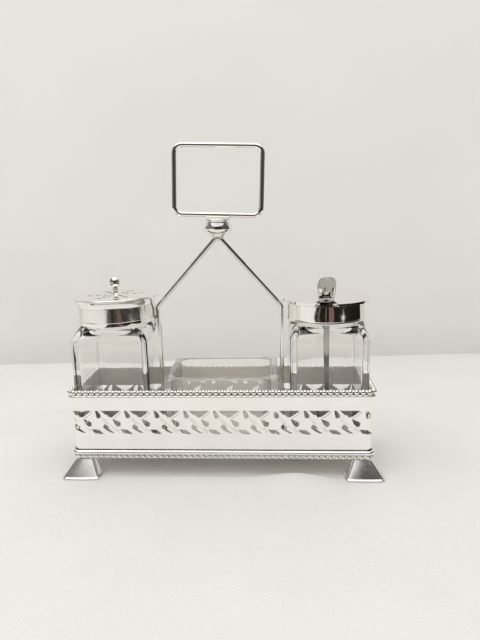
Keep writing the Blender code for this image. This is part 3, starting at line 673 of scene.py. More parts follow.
# The insides: a duller, warmer finish with painted light, pale and nearly non-metallic so the shaded insides
# of the gallery read lighter.
SILVER_INSIDE_PAINTED_LIGHT = silver("silver_inside_painted_light", (0.90, 0.85, 0.775), (0.82, 0.77, 0.70), 0.48, 0.62, 0.04, 0.12, 0.12)
STEEL = silver("steel_turned", (0.60, 0.59, 0.57), (0.45, 0.44, 0.42), 0.25, 0.40, 0.02)
GLASS = clear_glass("pressed_glass", (0.985, 0.98, 0.965))
# The salt's glass is partly a pale diffuse colour: painted light so the salt reads brighter.
GLASS_SALT_PAINTED_LIGHT = clear_glass("pressed_glass_salt_painted_light", (0.995, 0.98, 0.95), 0.87)


# --- gallery ---
class RoundPath:
    """A rounded rectangle walked anticlockwise from the middle of its front, by arc length."""

    def __init__(self, half_x, half_y, radius):
        straight_x = half_x - radius
        straight_y = half_y - radius
        quarter = math.pi / 2 * radius
        self.radius = radius
        self.legs = []
        start = 0.0
        corners = (
            ((0.0, -half_y), (1, 0), straight_x, (straight_x, -straight_y)),
            ((half_x, -straight_y), (0, 1), 2 * straight_y, (straight_x, straight_y)),
            ((straight_x, half_y), (-1, 0), 2 * straight_x, (-straight_x, straight_y)),
            ((-half_x, straight_y), (0, -1), 2 * straight_y, (-straight_x, -straight_y)),
            ((-straight_x, -half_y), (1, 0), straight_x, None),
        )
        for first, along, length, centre in corners:
            self.legs.append(("line", start, length, Vector(first), Vector(along)))
            start += length
            if centre is not None:
                self.legs.append(("arc", start, quarter, Vector(centre), Vector(along)))
                start += quarter
        self.length = start

    def at(self, s, out=0.0):
        """(x, y) at arc length s, moved outwards, and the outward normal."""
        s = s % self.length
        for kind, start, length, anchor, along in self.legs:
            if s <= start + length + 1e-9:
                break
        normal = Vector((along.y, -along.x))
        if kind == "line":
            return anchor + along * (s - start) + normal * out, normal
        turn = Matrix.Rotation((s - start) / self.radius, 2)
        normal = turn @ normal
        return anchor + normal * (self.radius + out), normal

    def bends(self):
        return [(start, start + length) for kind, start, length, anchor, along in self.legs if kind == "arc"]


def rounded_band(name, half, corner, profile, steps=10, sharp=35.0):
    """A moulding round the gallery from a closed profile of inset and height."""
    rings = []
    for inset, height in profile:
        radius = max(corner - inset, SMALLEST_CORNER)
        outline = rounded_outline(half[0] - inset, half[1] - inset, radius, steps)
        rings.append([vec(x, y, height) for x, y in outline])
    return loft(name, rings, joined=True, sharp=sharp)


def pierced_strip(starts, seam_low, seam_high):
    """The wall's sheet, cut out flat."""
    low, high = WALL_LOW.z, WALL_HIGH.z
    outlines = [[(seam_low, low), (seam_high, low), (seam_high, high), (seam_low, high)]]
    for start in starts:
        for shape in PIERCE_SHAPES:
            opening = [(start + across, PIERCE_TOP - down) for across, down in shape]
            outlines.append(fillet(opening, PIERCE_FILLET))
    return plate_mesh("gallery_wall_pierced", outlines, -WALL_THICK / 2, WALL_THICK / 2)


def bend_strip(strip, path, seam_low, seam_high):
    """Bends the flat sheet round the gallery and welds its seam."""
    shape = bmesh.new()
    shape.from_mesh(strip.data)
    ends = []
    for face in shape.faces:
        for seam in (seam_low, seam_high):
            if all(abs(vertex.co.x - mm(seam)) < SAME_PLACE for vertex in face.verts):
                ends.append(face)
    bmesh.ops.delete(shape, geom=ends, context="FACES_ONLY")
    for start, end in path.bends():
        for step in range(BEND_CUTS + 1):
            where = start + (end - start) * step / BEND_CUTS
            if where > seam_high:
                where -= path.length
            bmesh.ops.bisect_plane(
                shape,
                geom=shape.verts[:] + shape.edges[:] + shape.faces[:],
                dist=SAME_PLACE,
                plane_co=vec(where, 0, 0),
                plane_no=(1, 0, 0),
            )
    for vertex in shape.verts:
        point = path.at(vertex.co.x * 1000, vertex.co.z * 1000)[0]
        vertex.co = vec(point.x, point.y, vertex.co.y * 1000)
    bmesh.ops.remove_doubles(shape, verts=shape.verts, dist=mm(SEAM_WELD))
    shape.to_mesh(strip.data)
    shape.free()


def engraving_cutter(starts, path):
    grooves = []
    for start in starts:
        for line in ENGRAVED_LINES:
            points = []
            for across, down in smooth_through(line, 3):
                spot = path.at(start + across, WALL_THICK / 2 + ENGRAVED_RADIUS * ENGRAVED_STAND)[0]
                points.append(vec(spot.x, spot.y, PIERCE_TOP - down))
            grooves.append(taken_apart(tube("groove", points, ENGRAVED_RADIUS, sides=6)))
    return mesh_piece("groove_cutter", *joined_meshes(grooves))


def faces_inwards(face):
    outwards = Vector((face.center.x, face.center.y * GALLERY_RATIO, 0.0))
    return face.normal.dot(outwards) < 0 and abs(face.normal.z) < UPRIGHT


def build_wall():
    """The wall is pierced flat, bent round the gallery and then engraved. Its inside is duller, with painted
    light: a pale, nearly non-metallic finish that reads lighter in the gallery's shade.
    """
    half_sheet = WALL_THICK / 2
    path = RoundPath(WALL_HIGH.x - half_sheet, WALL_HIGH.y - half_sheet, WALL_CORNER - half_sheet)
    first = PIERCE_FIRST - PIERCE_PITCH * (PIERCE_REPEATS // 2)
    starts = [first + repeat * PIERCE_PITCH for repeat in range(PIERCE_REPEATS)]
    seam_low = first + PIERCE_SEAM - PIERCE_PITCH
    seam_high = seam_low + path.length
    strip = pierced_strip(starts, seam_low, seam_high)
    bend_strip(strip, path, seam_low, seam_high)
    cut(strip, engraving_cutter(starts, path), solver="MANIFOLD")
    finish_mesh(strip, 30.0)
    place(strip, "stand", "silver_plate", ["gallery_wall"], SILVER_WALL)
    second_finish(strip, SILVER_INSIDE_PAINTED_LIGHT, faces_inwards)


def build_rim():
    """A lip, a row of beads outside the wall, and a plain skirt inside them."""
    half = (RIM_HIGH.x, RIM_HIGH.y)
    low, top = RIM_LOW.z, RIM_HIGH.z
    skirt = WALL_HIGH.z + RIM_SKIRT_CLEAR
    profile = [(inset, low + rise) for inset, rise in RIM_LIP]
    profile += [(inset, top - drop) for inset, drop in RIM_BACK]
    profile += [(RIM_SKIRT[0], skirt), (RIM_SKIRT[1], skirt), (RIM_SKIRT[2], low)]
    parts = [taken_apart(rounded_band("rim_moulding", half, RIM_CORNER, profile))]
    path = RoundPath(half[0] - BEAD_INSET, half[1] - BEAD_INSET, RIM_CORNER - BEAD_INSET)
    count = round(path.length / BEAD_PITCH)
    pole_steps, round_steps = BEAD_STEPS
    angles = sweep(pole_steps, 0, 180)
    half_circle = [(BEAD_RADIUS * math.sin(angle), -BEAD_RADIUS * math.cos(angle)) for angle in angles]
    ball_points, ball_faces = turned_mesh(half_circle, round_steps)
    for bead in range(count):
        spot = path.at(path.length * (bead + 0.5) / count)[0]
        centre = vec(spot.x, spot.y, top - BEAD_RADIUS)
        parts.append(([point + centre for point in ball_points], ball_faces))
    rim = mesh_piece("rim_beaded", *joined_meshes(parts), 40.0)
    place(rim, "stand", "silver_plate", ["beaded_rim"], SILVER_RIM)

    def inner_upright(face):
        inside_x = abs(face.center.x) * 1000 < half[0] - RIM_INNER_INSET
        inside_y = abs(face.center.y) * 1000 < half[1] - RIM_INNER_INSET
        return inside_x and inside_y and abs(face.normal.z) < UPRIGHT

    # The rim's inner faces take the inside finish, with its painted light.
    second_finish(rim, SILVER_INSIDE_PAINTED_LIGHT, inner_upright)


def rope_points(path, lobes, low):
    """Rings of a three-strand twist along a path, its lowest side at the given height."""
    per_lobe, around = ROPE_STEPS
    total = lobes * per_lobe
    points = []
    for i in range(total):
        spot, normal = path.at(path.length * i / total)
        twist = math.tau * lobes / ROPE_STRANDS * i / total
        for angle in sweep(around, 0, 360)[:-1]:
            lobe = abs(math.sin(ROPE_STRANDS * (angle - twist) / 2))
            radius = ROPE_RADIUS * (ROPE_WAIST + (1 - ROPE_WAIST) * lobe ** ROPE_FULLNESS)
            out = radius * math.cos(angle) * ROPE_DEPTH
            height = low + ROPE_RADIUS + radius * math.sin(angle)
            points.append(vec(spot.x + normal.x * out, spot.y + normal.y * out, height))
    return points, loft_faces(total, around, joined=True)


def build_border():
    """A rope twist with a plain half round above it."""
    half = (BORDER_HIGH.x, BORDER_HIGH.y)
    low, high = BORDER_LOW.z, BORDER_HIGH.z
    inner = half[0] - WALL_HIGH.x - BORDER_CLEAR
    waist = low + HALF_ROUND_LOW
    shoulder, drop, top = HALF_ROUND_TOP
    profile = [(inset, waist + rise) for inset, rise in HALF_ROUND]
    profile += [(shoulder, high - drop), (top, high), (inner, high), (inner, waist + HALF_ROUND[0][1])]
    band = taken_apart(rounded_band("border_half_round", half, RIM_CORNER, profile))
    inset = ROPE_RADIUS + ROPE_INSET
    path = RoundPath(half[0] - inset, half[1] - inset, RIM_CORNER - ROPE_RADIUS)
    lobes = round(path.length / ROPE_PITCH / ROPE_STRANDS) * ROPE_STRANDS
    border = mesh_piece("border_rope", *joined_meshes([band, rope_points(path, lobes, low)]), 50.0)
    place(border, "stand", "silver_plate", ["gadroon_border"], SILVER_BORDER)


def foot_outline(half_x, half_y, corner):
    """A rounded rectangle whose long faces are a little full in the middle."""
    made = []
    points = rounded_outline(half_x, half_y, corner, 6)
    for i, (x, y) in enumerate(points):
        start = Vector((x, y))
        end = Vector(points[(i + 1) % len(points)])
        made.append(start)
        if (end - start).length < corner:
            continue
        outward = Vector((end.y - start.y, start.x - end.x)).normalized()
        full = FOOT_BULGE * (end - start).length / (2 * half_x)
        for step in range(1, FOOT_STEPS):
            t = step / FOOT_STEPS
            made.append(start.lerp(end, t) + outward * full * 4 * t * (1 - t))
    return made


def foot_ring(signs, extents, corner, inset, height):
    """A ring of one foot, for the right rear corner and then turned to its own."""
    x_from, x_to, y_from, y_to = extents
    half_x, half_y = (x_to - x_from) / 2 - inset, (y_to - y_from) / 2 - inset
    outline = foot_outline(half_x, half_y, max(corner - inset, FOOT_SMALLEST_CORNER))
    middle = Vector(((x_to + x_from) / 2, (y_to + y_from) / 2))
    ring = [middle + point for point in outline]
    return [vec(signs[0] * point.x, signs[1] * point.y, height) for point in ring]


def build_feet():
    """Hollow flared feet with a thin rolled lip."""
    for end in ("front", "rear"):
        for side in ("left", "right"):
            node = "foot_" + end + "_" + side
            low, high = node_box(node)
            signs = (1 if side == "right" else -1, 1 if end == "rear" else -1)
            across = sorted((abs(low.x), abs(high.x)))
            deep = sorted((abs(low.y), abs(high.y)))
            table = (across[0], across[1], deep[0], deep[1])
            top = (*FOOT_TOP_X, *FOOT_TOP_Y)

            def extents(t):
                """Extents at a share of the way up from the lip."""
                return [low_end + (high_end - low_end) * t for low_end, high_end in zip(table, top)]

            def corner(t):
                return FOOT_CORNER[0] + (FOOT_CORNER[1] - FOOT_CORNER[0]) * t

            def face(t, inset):
                height = FOOT_LIP_HEIGHT + (high.z - FOOT_LIP_HEIGHT) * t
                return foot_ring(signs, extents(t), corner(t), inset * (1 - t) + FOOT_EASE, height)

            rings = [foot_ring(signs, top, FOOT_CORNER[1], FOOT_TOP_INSET, high.z)]
            rings += [face(1 - step / FOOT_STEPS, FOOT_LIP) for step in range(FOOT_STEPS + 1)]
            for inset, height in FOOT_EDGE:
                rings.append(foot_ring(signs, table, FOOT_CORNER[0], inset, height))
            for step in range(FOOT_STEPS):
                t = step / FOOT_STEPS
                height = FOOT_LIP_HEIGHT + (high.z - FOOT_LIP_HEIGHT) * t - FOOT_EASE
                rings.append(foot_ring(signs, extents(t), corner(t), FOOT_LIP + FOOT_SHEET, height))
            obj = loft(node + "_flared", rings, sharp=50.0)
            place(obj, "stand", "silver_plate", [node], SILVER_FOOT)


# --- handle ---
def bend(start, corner, end, radius, steps=10):
    start, corner, end = Vector(start), Vector(corner), Vector(end)
    back = (start - corner).normalized()
    ahead = (end - corner).normalized()
    half = back.angle(ahead) / 2
    centre = corner + (back + ahead).normalized() * (radius / math.sin(half))
    first = corner + back * (radius / math.tan(half)) - centre
    last = corner + ahead * (radius / math.tan(half)) - centre
    return [centre + first.slerp(last, step / steps).normalized() * radius for step in range(steps + 1)]


def build_handle():
    radius = LEGS_HIGH.y
    thicker = radius + LEG_SLEEVE
    apex = Vector(LEG_APEX)

    def half(foot_x, bend_at):
        """One leg up to the place where the sleeve of the joint starts."""
        foot = Vector((foot_x, LEGS_LOW.z))
        corner = Vector(bend_at)
        slope = (apex - corner).normalized()
        sleeve = corner + slope * ((LEG_SLEEVE_LOW - corner.y) / slope.y)
        return [foot] + bend(foot, corner, apex, LEG_BEND_RADIUS) + [sleeve, sleeve + slope * LEG_SLEEVE_STEP]

    right = half(LEG_FOOT_X, LEG_BEND_RIGHT)
    left = half(-LEG_FOOT_X, LEG_BEND_LEFT)
    line = right + bend(LEG_BEND_RIGHT, apex, LEG_BEND_LEFT, LEG_APEX_RADIUS) + left[::-1]
    path = [vec(point.x, 0, point.y) for point in line]
    radii = [thicker if point.y > LEG_SLEEVE_LOW + WELD else radius for point in line]
    legs = tube("handle_wire", path, radii, sides=WIRE_SIDES)
    place(legs, "stand", "silver_plate", ["handle_legs"], SILVER_WORN)

    knop = turned("handle_knop_turned", smooth_through(KNOP, 4), 96, sharp=45.0)
    groove = tube("knop_groove", path, thicker + KNOP_CLEAR, sides=WIRE_SIDES)
    cut(knop, groove)
    finish_mesh(knop, 40.0)
    place(knop, "stand", "silver_plate", ["handle_knop"], SILVER_POLISHED, flat=False)

    wire = LOOP_HIGH.y
    half_height = (LOOP_TOP - LOOP_BOTTOM) / 2
    outline = rounded_outline(LOOP_HALF - wire, half_height - wire, LOOP_CORNER - wire, 12)
    middle = (LOOP_TOP + LOOP_BOTTOM) / 2
    askew = Matrix.Rotation(math.radians(-LOOP_LEAN), 2)
    seat = Vector((0.0, LOOP_BOTTOM))
    leaning = [seat + askew @ (Vector((x, middle + z)) - seat) for x, z in outline]
    path = [vec(point.x, 0, point.y) for point in leaning]
    loop = tube("handle_loop_wire", path, wire, sides=WIRE_SIDES, closed=True)
    place(loop, "stand", "silver_plate", ["handle_loop"], SILVER_POLISHED)


# --- glass ---
def rounded_square(half, corner, side_points=16, corner_points=4):
    """A square with rounded corners, anticlockwise from its right side."""
    straight = half - corner
    points = []
    for turn in range(4):
        quarter = Matrix.Rotation(math.radians(90 * turn), 2)
        for step in range(side_points):
            points.append(quarter @ Vector((half, straight * (2 * step / side_points - 1))))
        for angle in sweep(corner_points)[:-1]:
            across = Vector((math.cos(angle), math.sin(angle))) * corner
            points.append(quarter @ (Vector((straight, straight)) + across))
    return points


def build_jar(name, node, body):
    """Square sides, a rounded shoulder and a round neck, then the hollow inside, from the foot."""
    low_corner, high_corner = node_box(node)
    centre_x = (low_corner.x + high_corner.x) / 2
    half = (high_corner.x - low_corner.x) / 2
    low, high = low_corner.z, high_corner.z
    outer = rounded_square(half, JAR_CORNER)
    inner = rounded_square(half - JAR_WALL, JAR_INNER_CORNER)
    neck = [point.normalized() * JAR_NECK for point in outer]
    bore = [point.normalized() * JAR_NECK_BORE for point in inner]

    def level(outline, height, inset=0.0):
        spots = [point * (1 - inset / half) for point in outline]
        return [vec(centre_x + spot.x, spot.y, height) for spot in spots]

    rings = [level(outer, low + rise, inset) for rise, inset in JAR_FOOT_EDGE]
    rings += [level(outer, low + (JAR_SIDE_TOP - low) * share) for share in (0.1, 0.3, 0.5, 0.7, 0.9, 1.0)]
    for angle in sweep(JAR_SHOULDER_STEPS)[1:]:
        blend = [end.lerp(start, math.cos(angle)) for start, end in zip(outer, neck)]
        rings.append(level(blend, JAR_SIDE_TOP + (JAR_SHOULDER_TOP - JAR_SIDE_TOP) * math.sin(angle)))
    rings.append(level(neck, JAR_SHOULDER_TOP + JAR_NECK_RISE))
    rings += [level(neck, high - drop, inset) for drop, inset in JAR_LIP_OUTER]
    rings += [level(bore, high - drop, inset) for drop, inset in JAR_LIP_INNER]
    rings.append(level(bore, JAR_INNER_SHOULDER_TOP + JAR_BORE_RISE))
    shoulder = JAR_INNER_SHOULDER_TOP - JAR_INNER_SIDE_TOP
    for angle in sweep(JAR_SHOULDER_STEPS):
        blend = [start.lerp(end, math.sin(angle)) for start, end in zip(bore, inner)]
        rings.append(level(blend, JAR_INNER_SIDE_TOP + shoulder * math.cos(angle)))
    inner_side = JAR_INNER_SIDE_TOP - JAR_FLOOR
    rings += [level(inner, JAR_FLOOR + inner_side * share) for share in (0.75, 0.5, 0.25)]
    rings += [level(inner, JAR_FLOOR + rise, inset) for rise, inset in JAR_FLOOR_EDGE]
    place(loft(name, rings, sharp=75.0), body, "glass", [node], GLASS)


def build_salt():
    middle_x = (SALT_LOW.x + SALT_HIGH.x) / 2
    low, high = SALT_LOW.z, SALT_HIGH.z
    turn = Matrix.Rotation(math.radians(SALT_TURN), 2)

    def level(inset, corner, height):
        outline = rounded_outline(SALT_HALF[0] - inset, SALT_HALF[1] - inset, corner, 10)
        spots = [turn @ Vector(point) for point in outline]
        return [vec(middle_x + spot.x, spot.y, height) for spot in spots]

    def well(inset, height):
        return level(SALT_WALL + inset, SALT_WELL_CORNER, height)

    rings = [level(inset, SALT_CORNER, low + rise) for inset, rise in SALT_FOOT_EDGE]
    rings += [level(inset, SALT_CORNER, high - drop) for inset, drop in SALT_TOP_EDGE]
    rings += [well(inset, high - drop) for inset, drop in SALT_WELL_EDGE]
    rings += [well(inset, SALT_FLOOR + rise) for inset, rise in SALT_WELL_FLOOR]
    # The salt's glass carries painted light: a pale diffuse share.
    place(loft("salt_cellar_glass", rings), "salt", "glass", ["salt_cellar"], GLASS_SALT_PAINTED_LIGHT)


# --- pepper cap ---
def build_pepper_cap():
    lean_x, lean_y = (math.radians(lean) for lean in CAP_LEAN)
    leaning = Matrix.Rotation(lean_y, 4, "Y") @ Matrix.Rotation(lean_x, 4, "X")
    seat = Matrix.Translation(vec(*CAP_PLACE)) @ leaning
    band = turned("pepper_cap_skirt", CAP_BAND, CAP_STEPS, closed=True, sharp=50.0)
    band_low = {face.index for face in band.data.polygons if face.center.z < mm(CAP_BAND_STEP)}
    top = turned("pepper_cap_disc", smooth_through(CAP_DISC, 4), CAP_STEPS, sharp=50.0)
    holes = []
    for arm in range(SHAKER_ARMS):
        spoke = Matrix.Rotation(math.radians(SHAKER_START + 360 * arm / SHAKER_ARMS), 2)
        for ring in SHAKER_RINGS:
            slot = rounded_outline(*SHAKER_SLOT, steps=5)
            holes.append([spoke @ Vector((ring + x, y)) for x, y in slot])
    cut(top, plate_mesh("shaker_holes", holes, *SHAKER_PUNCH))
    finish_mesh(top, 50.0)
    finial = turned("pepper_finial_ball", smooth_through(FINIAL, 4), 64, sharp=60.0)
    for obj, node, finish in (
        (band, "pepper_cap_band", SILVER_WORN),
        (top, "pepper_cap_top", SILVER_POLISHED),
        (finial, "pepper_finial", SILVER_POLISHED),
    ):
        obj.data.transform(seat)
        place(obj, "pepper_cap", "silver_plate", [node], finish, flat=obj is not finial)
    second_finish(band, SILVER_POLISHED, lambda face: face.index in band_low)


# --- mustard top ---
def build_collar(middle_x):
    low, high = COLLAR_LOW.z, COLLAR_HIGH.z
    profile = [(radius, high - drop) for radius, drop in COLLAR_TOP]
    profile += [(radius, low + rise) for radius, rise in COLLAR_FOOT]
    profile += [(radius, high - drop) for radius, drop in COLLAR_UNDER]
    collar = turned("mustard_collar_turned", smooth_through(profile, 3)[:-1], 144, closed=True, sharp=50.0)
    collar.data.transform(Matrix.Translation(vec(middle_x, 0, 0)))
    place(collar, "mustard_pot", "silver_plate", ["mustard_collar"], SILVER_POLISHED)


def lid_outline(middle_x):
    """A disc with a round-ended notch for the spoon, anticlockwise from the notch."""
    start = math.degrees(math.atan2(-LID_RADIUS, NOTCH_X + NOTCH_HALF)) + NOTCH_EASE
    end = math.degrees(math.atan2(-LID_RADIUS, NOTCH_X - NOTCH_HALF)) + 360
    outline = []
    for angle in sweep(LID_STEPS, start, end):
        outline.append((middle_x + LID_RADIUS * math.cos(angle), LID_RADIUS * math.sin(angle)))
    deep = NOTCH_HALF - NOTCH_FLAT
    for angle in sweep(NOTCH_STEPS, 180, 0):
        x = NOTCH_X + NOTCH_HALF * math.cos(angle)
        outline.append((middle_x + x, -NOTCH_REACH - deep + deep * math.sin(angle)))
    return outline


def build_mustard_top():
    middle_x = (COLLAR_LOW.x + COLLAR_HIGH.x) / 2
    build_collar(middle_x)
    lid = plate_mesh("mustard_lid_disc", [lid_outline(middle_x)], LID_UNDER, LID_TOP)
    round_edges(lid, LID_EDGE, 3, 55.0)
    apply_modifiers(lid)
    left, right = middle_x - BARREL_HALF, middle_x + BARREL_HALF
    rear, front = HINGE_Y, HINGE_Y - TONGUE_REACH
    edge = [(left, front), (right, front), (right, rear), (left, rear)]
    cut(lid, plate_mesh("lid_tongue", [edge], HINGE_Z + TONGUE_LOW, HINGE_Z + BARREL_RADIUS), "UNION")

    def along_hinge(name, half, radius, sides):
        ends = [vec(middle_x + sign * half, HINGE_Y, HINGE_Z) for sign in (-1, 1)]
        return tube(name, ends, radius, sides)

    cut(lid, along_hinge("lid_barrel", BARREL_HALF, BARREL_RADIUS, 32), "UNION")
    cut(lid, along_hinge("lid_drill", BARREL_DRILL_HALF, BARREL_BORE, 24))
    finish_mesh(lid)
    place(lid, "mustard_lid", "silver_plate", ["mustard_lid"], SILVER_POLISHED)


# --- spoon ---
def hump(value, middle, reach):
    """A bell of height one."""
    return math.exp(-((value - middle) / reach) ** 2)


def fade(value, start, end):
    """How far a value has gone from start to end, from nought to one."""
    return max(0.0, min(1.0, (value - start) / (end - start)))


def boss(along, spread, setting):
    up, up_reach, out, out_reach, height = setting
    return hump(along, up, up_reach) * hump(spread, out, out_reach) * height


def spoon_relief(along, spread, half_width):
    """Height of the cast pattern on the front of the stem's end."""
    edge_share, edge_reach, edge_height = SPOON_EDGE
    ridge_from, ridge_to, ridge_reach, ridge_height = SPOON_RIDGE
    edge = hump(spread, half_width * edge_share, edge_reach) * edge_height
    ridge = hump(spread, 0.0, ridge_reach) * ridge_height * fade(along, ridge_from, ridge_to)
    raised = (edge + ridge) * fade(along, *SPOON_RAISED)
    return boss(along, spread, SPOON_LOBES) + boss(along, spread, SPOON_VALLEY) + raised


def build_spoon():
    tip = Vector(SPOON_TIP)
    lean = Vector(SPOON_LEAN).normalized()
    across = Vector((0, -1, 0)).cross(lean).normalized() * -1
    forward = lean.cross(across).normalized()
    if forward.y > 0:
        forward = -forward
    cleft_from, cleft_to, cleft_reach, cleft_depth = SPOON_CLEFT
    rings = []
    for along, half_width, half_thick, ahead in smooth_through(SPOON_SECTIONS, 6):
        depth = cleft_depth * fade(along, cleft_from, cleft_to)
        ring = []
        for angle in sweep(SPOON_STEPS, 0, 360)[:-1]:
            side, face = math.cos(angle), math.sin(angle)
            lift = spoon_relief(along, abs(side) * half_width, half_width) if face > 0 else 0.0
            flat = math.copysign(abs(face) ** SPOON_FULLNESS, face)
            cleft = depth * hump(side * half_width, 0.0, cleft_reach)
            middle = tip + lean * (along - cleft) + forward * ahead
            point = middle + across * half_width * side + forward * (half_thick * flat + lift)
            ring.append(vec(*point))
        rings.append(ring)
    spoon = loft("mustard_spoon_cast", rings, sharp=60.0)
    cut(spoon, spoon_bowl(tip, lean, across, forward), "UNION")
    finish_mesh(spoon, 50.0)
    # Its finish carries painted shade: a dark grey for the dark room it reflects.
    place(spoon, "spoon", "silver_plate", ["mustard_spoon"], SILVER_SPOON_PAINTED_SHADE)


def spoon_bowl(tip, lean, across, forward):
    """Half an oval shell, its length along the stem."""
    shape = bmesh.new()
    round_steps, pole_steps = SPOON_BOWL_STEPS
    bmesh.ops.create_uvsphere(shape, u_segments=round_steps, v_segments=pole_steps, radius=1.0)
    bmesh.ops.scale(shape, vec=vec(*SPOON_BOWL), verts=shape.verts)
    above = [vertex for vertex in shape.verts if vertex.co.z > SAME_PLACE]
    bmesh.ops.delete(shape, geom=above, context="VERTS")
    mesh = bpy.data.meshes.new("spoon_bowl")
    shape.to_mesh(mesh)
    shape.free()
    bowl = link(bpy.data.objects.new("spoon_bowl", mesh))
    sheet = bowl.modifiers.new("sheet", "SOLIDIFY")
    sheet.thickness = mm(SPOON_BOWL_SHEET)
    sheet.offset = 1.0
    turn = Matrix((across, lean, forward)).transposed().to_4x4()
    middle = tip + lean * (SPOON_BOWL[1] - SPOON_BOWL_SINK)
    bowl.matrix_world = Matrix.Translation(vec(*middle)) @ turn
    apply_modifiers(bowl)
    return bowl


# --- CAD nodes that stay ---
def finish_kept_nodes():
    finishes = {
        # The base plate takes the inside finish, with its painted light.
        "base_plate": SILVER_INSIDE_PAINTED_LIGHT,
        "handle_nut_left": STEEL,
        "handle_nut_right": STEEL,
        "mustard_hinge_bracket": SILVER_WORN,
        "mustard_hinge_pin": STEEL,
    }
    for node, finish in finishes.items():
        obj = frame["nodes"][node]
        obj.data.materials.clear()
        obj.data.materials.append(finish)
        if node != "mustard_hinge_pin":
            round_edges(obj, 0.12, 2)


# --- studio ---
CAMERA_PLACE = (26.316, -261.029, 132.755)
CAMERA_PITCH, CAMERA_YAW, CAMERA_ROLL = 12.46, -3.63, -1.41
CAMERA_LENS = 29.63
FLOOR = -0.05
WALL_Y = 180.9  # the backdrop at x = 0
WALL_SLOPE = 0.0597  # it runs back a little to the right
WALL_PAINTED_SHADE_HEIGHT = 120.0
STAGE_REACH = 900.0
FLAG_REACH = 880.0  # flags run out to here
FLAG_FRONT_Y = -292.0
FLAG_SIDE_X = 345.0
FLAG_HEIGHT = 0.3
STRIPE_HEIGHT = 0.6
STRIPES = ((-125.0, -98.0), (12.0, 30.0), (80.0, 175.0))
STRIPE_SETBACK = 20.0
SIDE_WALLS = (("left", -420.0, (0.22, 0.21, 0.20)), ("right", 420.0, (0.10, 0.095, 0.09)))
SIDE_WALL_Y = (-800.0, 150.0)
SIDE_WALL_Z = (60.0, 560.0)
ROOM_ARC = (-175.0, -12.0)  # degrees, with -90 straight ahead of the stand
ROOM_HEIGHT = (300.0, 830.0)  # at its left and right ends
ROOM_RADIUS = 860.0
ROOM_ROWS = ((0.0, 1.0), (0.4, 1.0), (0.78, 0.92), (1.0, 0.82))  # share of the height and of the radius
ROOM_STEPS = 24
FOLD_Y = -25.5
FOLD_HALF = 60.0
FOLD_CREST = 1.5
FOLD_SWELL = 2.6
FOLD_SWELL_X = 37.0
FOLD_SWELL_WIDTH = 15.0
FOLD_REAR = 2.2
FOLD_FRONT = 12.0
FOLD_REACH = 3.2  # how far out the fold's mesh goes, in times its width
FOLD_STEPS = (90, 120)
SKY_LOW = (0.80, 0.79, 0.78)
SKY_HIGH = (1.0, 0.99, 0.975)
SKY_HIGH_FROM = 0.55
SKY_STRENGTH = 0.865
SOFTBOX_PLACE = (-200.0, 60.0, 900.0)
SOFTBOX_TURN = (-4.0, -5.0)  # degrees about X and Y
SOFTBOX_SIZE = (1300.0, 1100.0)
SOFTBOX_WATTS = 5.6


def build_camera():
    data = bpy.data.cameras.new("camera")
    data.lens = CAMERA_LENS
    data.sensor_width = 36.0
    data.sensor_fit = "AUTO"
    data.clip_start = 0.01
    camera = link(bpy.data.objects.new("camera", data))
    pitch, yaw, roll = (math.radians(a) for a in (CAMERA_PITCH, CAMERA_YAW, CAMERA_ROLL))
    forward = Vector((math.sin(yaw) * math.cos(pitch), math.cos(yaw) * math.cos(pitch), -math.sin(pitch)))
    right = Vector((math.cos(yaw), -math.sin(yaw), 0.0))
    up = right.cross(forward)
    right_rolled = right * math.cos(roll) + up * math.sin(roll)
    up_rolled = -right * math.sin(roll) + up * math.cos(roll)
    turn = Matrix((right_rolled, up_rolled, -forward)).transposed().to_4x4()
    camera.matrix_world = Matrix.Translation(vec(*CAMERA_PLACE)) @ turn
    bpy.context.scene.camera = camera


def stage_mesh(name, points, faces, material):
    obj = link(mesh_object(name, points, faces))
    obj.data.materials.append(material)
    return obj


def stage_plane(name, corners, material):
    return stage_mesh(name, [vec(*corner) for corner in corners], [(0, 1, 2, 3)], material)


def cloth_material():
    made, nodes = new_material("table_cloth")
    shader = nodes.shader
    shader.inputs["Roughness"].default_value = 0.9
    shader.inputs["Specular IOR Level"].default_value = 0.15
    nodes.link(
        nodes.ramp(nodes.noise(0.02), ((0.3, (0.79, 0.78, 0.765)), (0.7, (0.82, 0.81, 0.795)))),
        shader.inputs["Base Color"],
    )
    weave = nodes.add("ShaderNodeTexWave")
    weave.wave_type = "BANDS"
    weave.bands_direction = "DIAGONAL"
    weave.inputs["Scale"].default_value = 0.42
    weave.inputs["Distortion"].default_value = 0.4
    nodes.link(nodes.coordinates(), weave.inputs["Vector"])
    twill = nodes.bump(weave.outputs["Fac"], 0.5, 0.2)
    folds = nodes.bump(nodes.noise(0.018, 1.0), 0.35, 6.0, twill)
    nodes.link(folds, shader.inputs["Normal"])
    return made


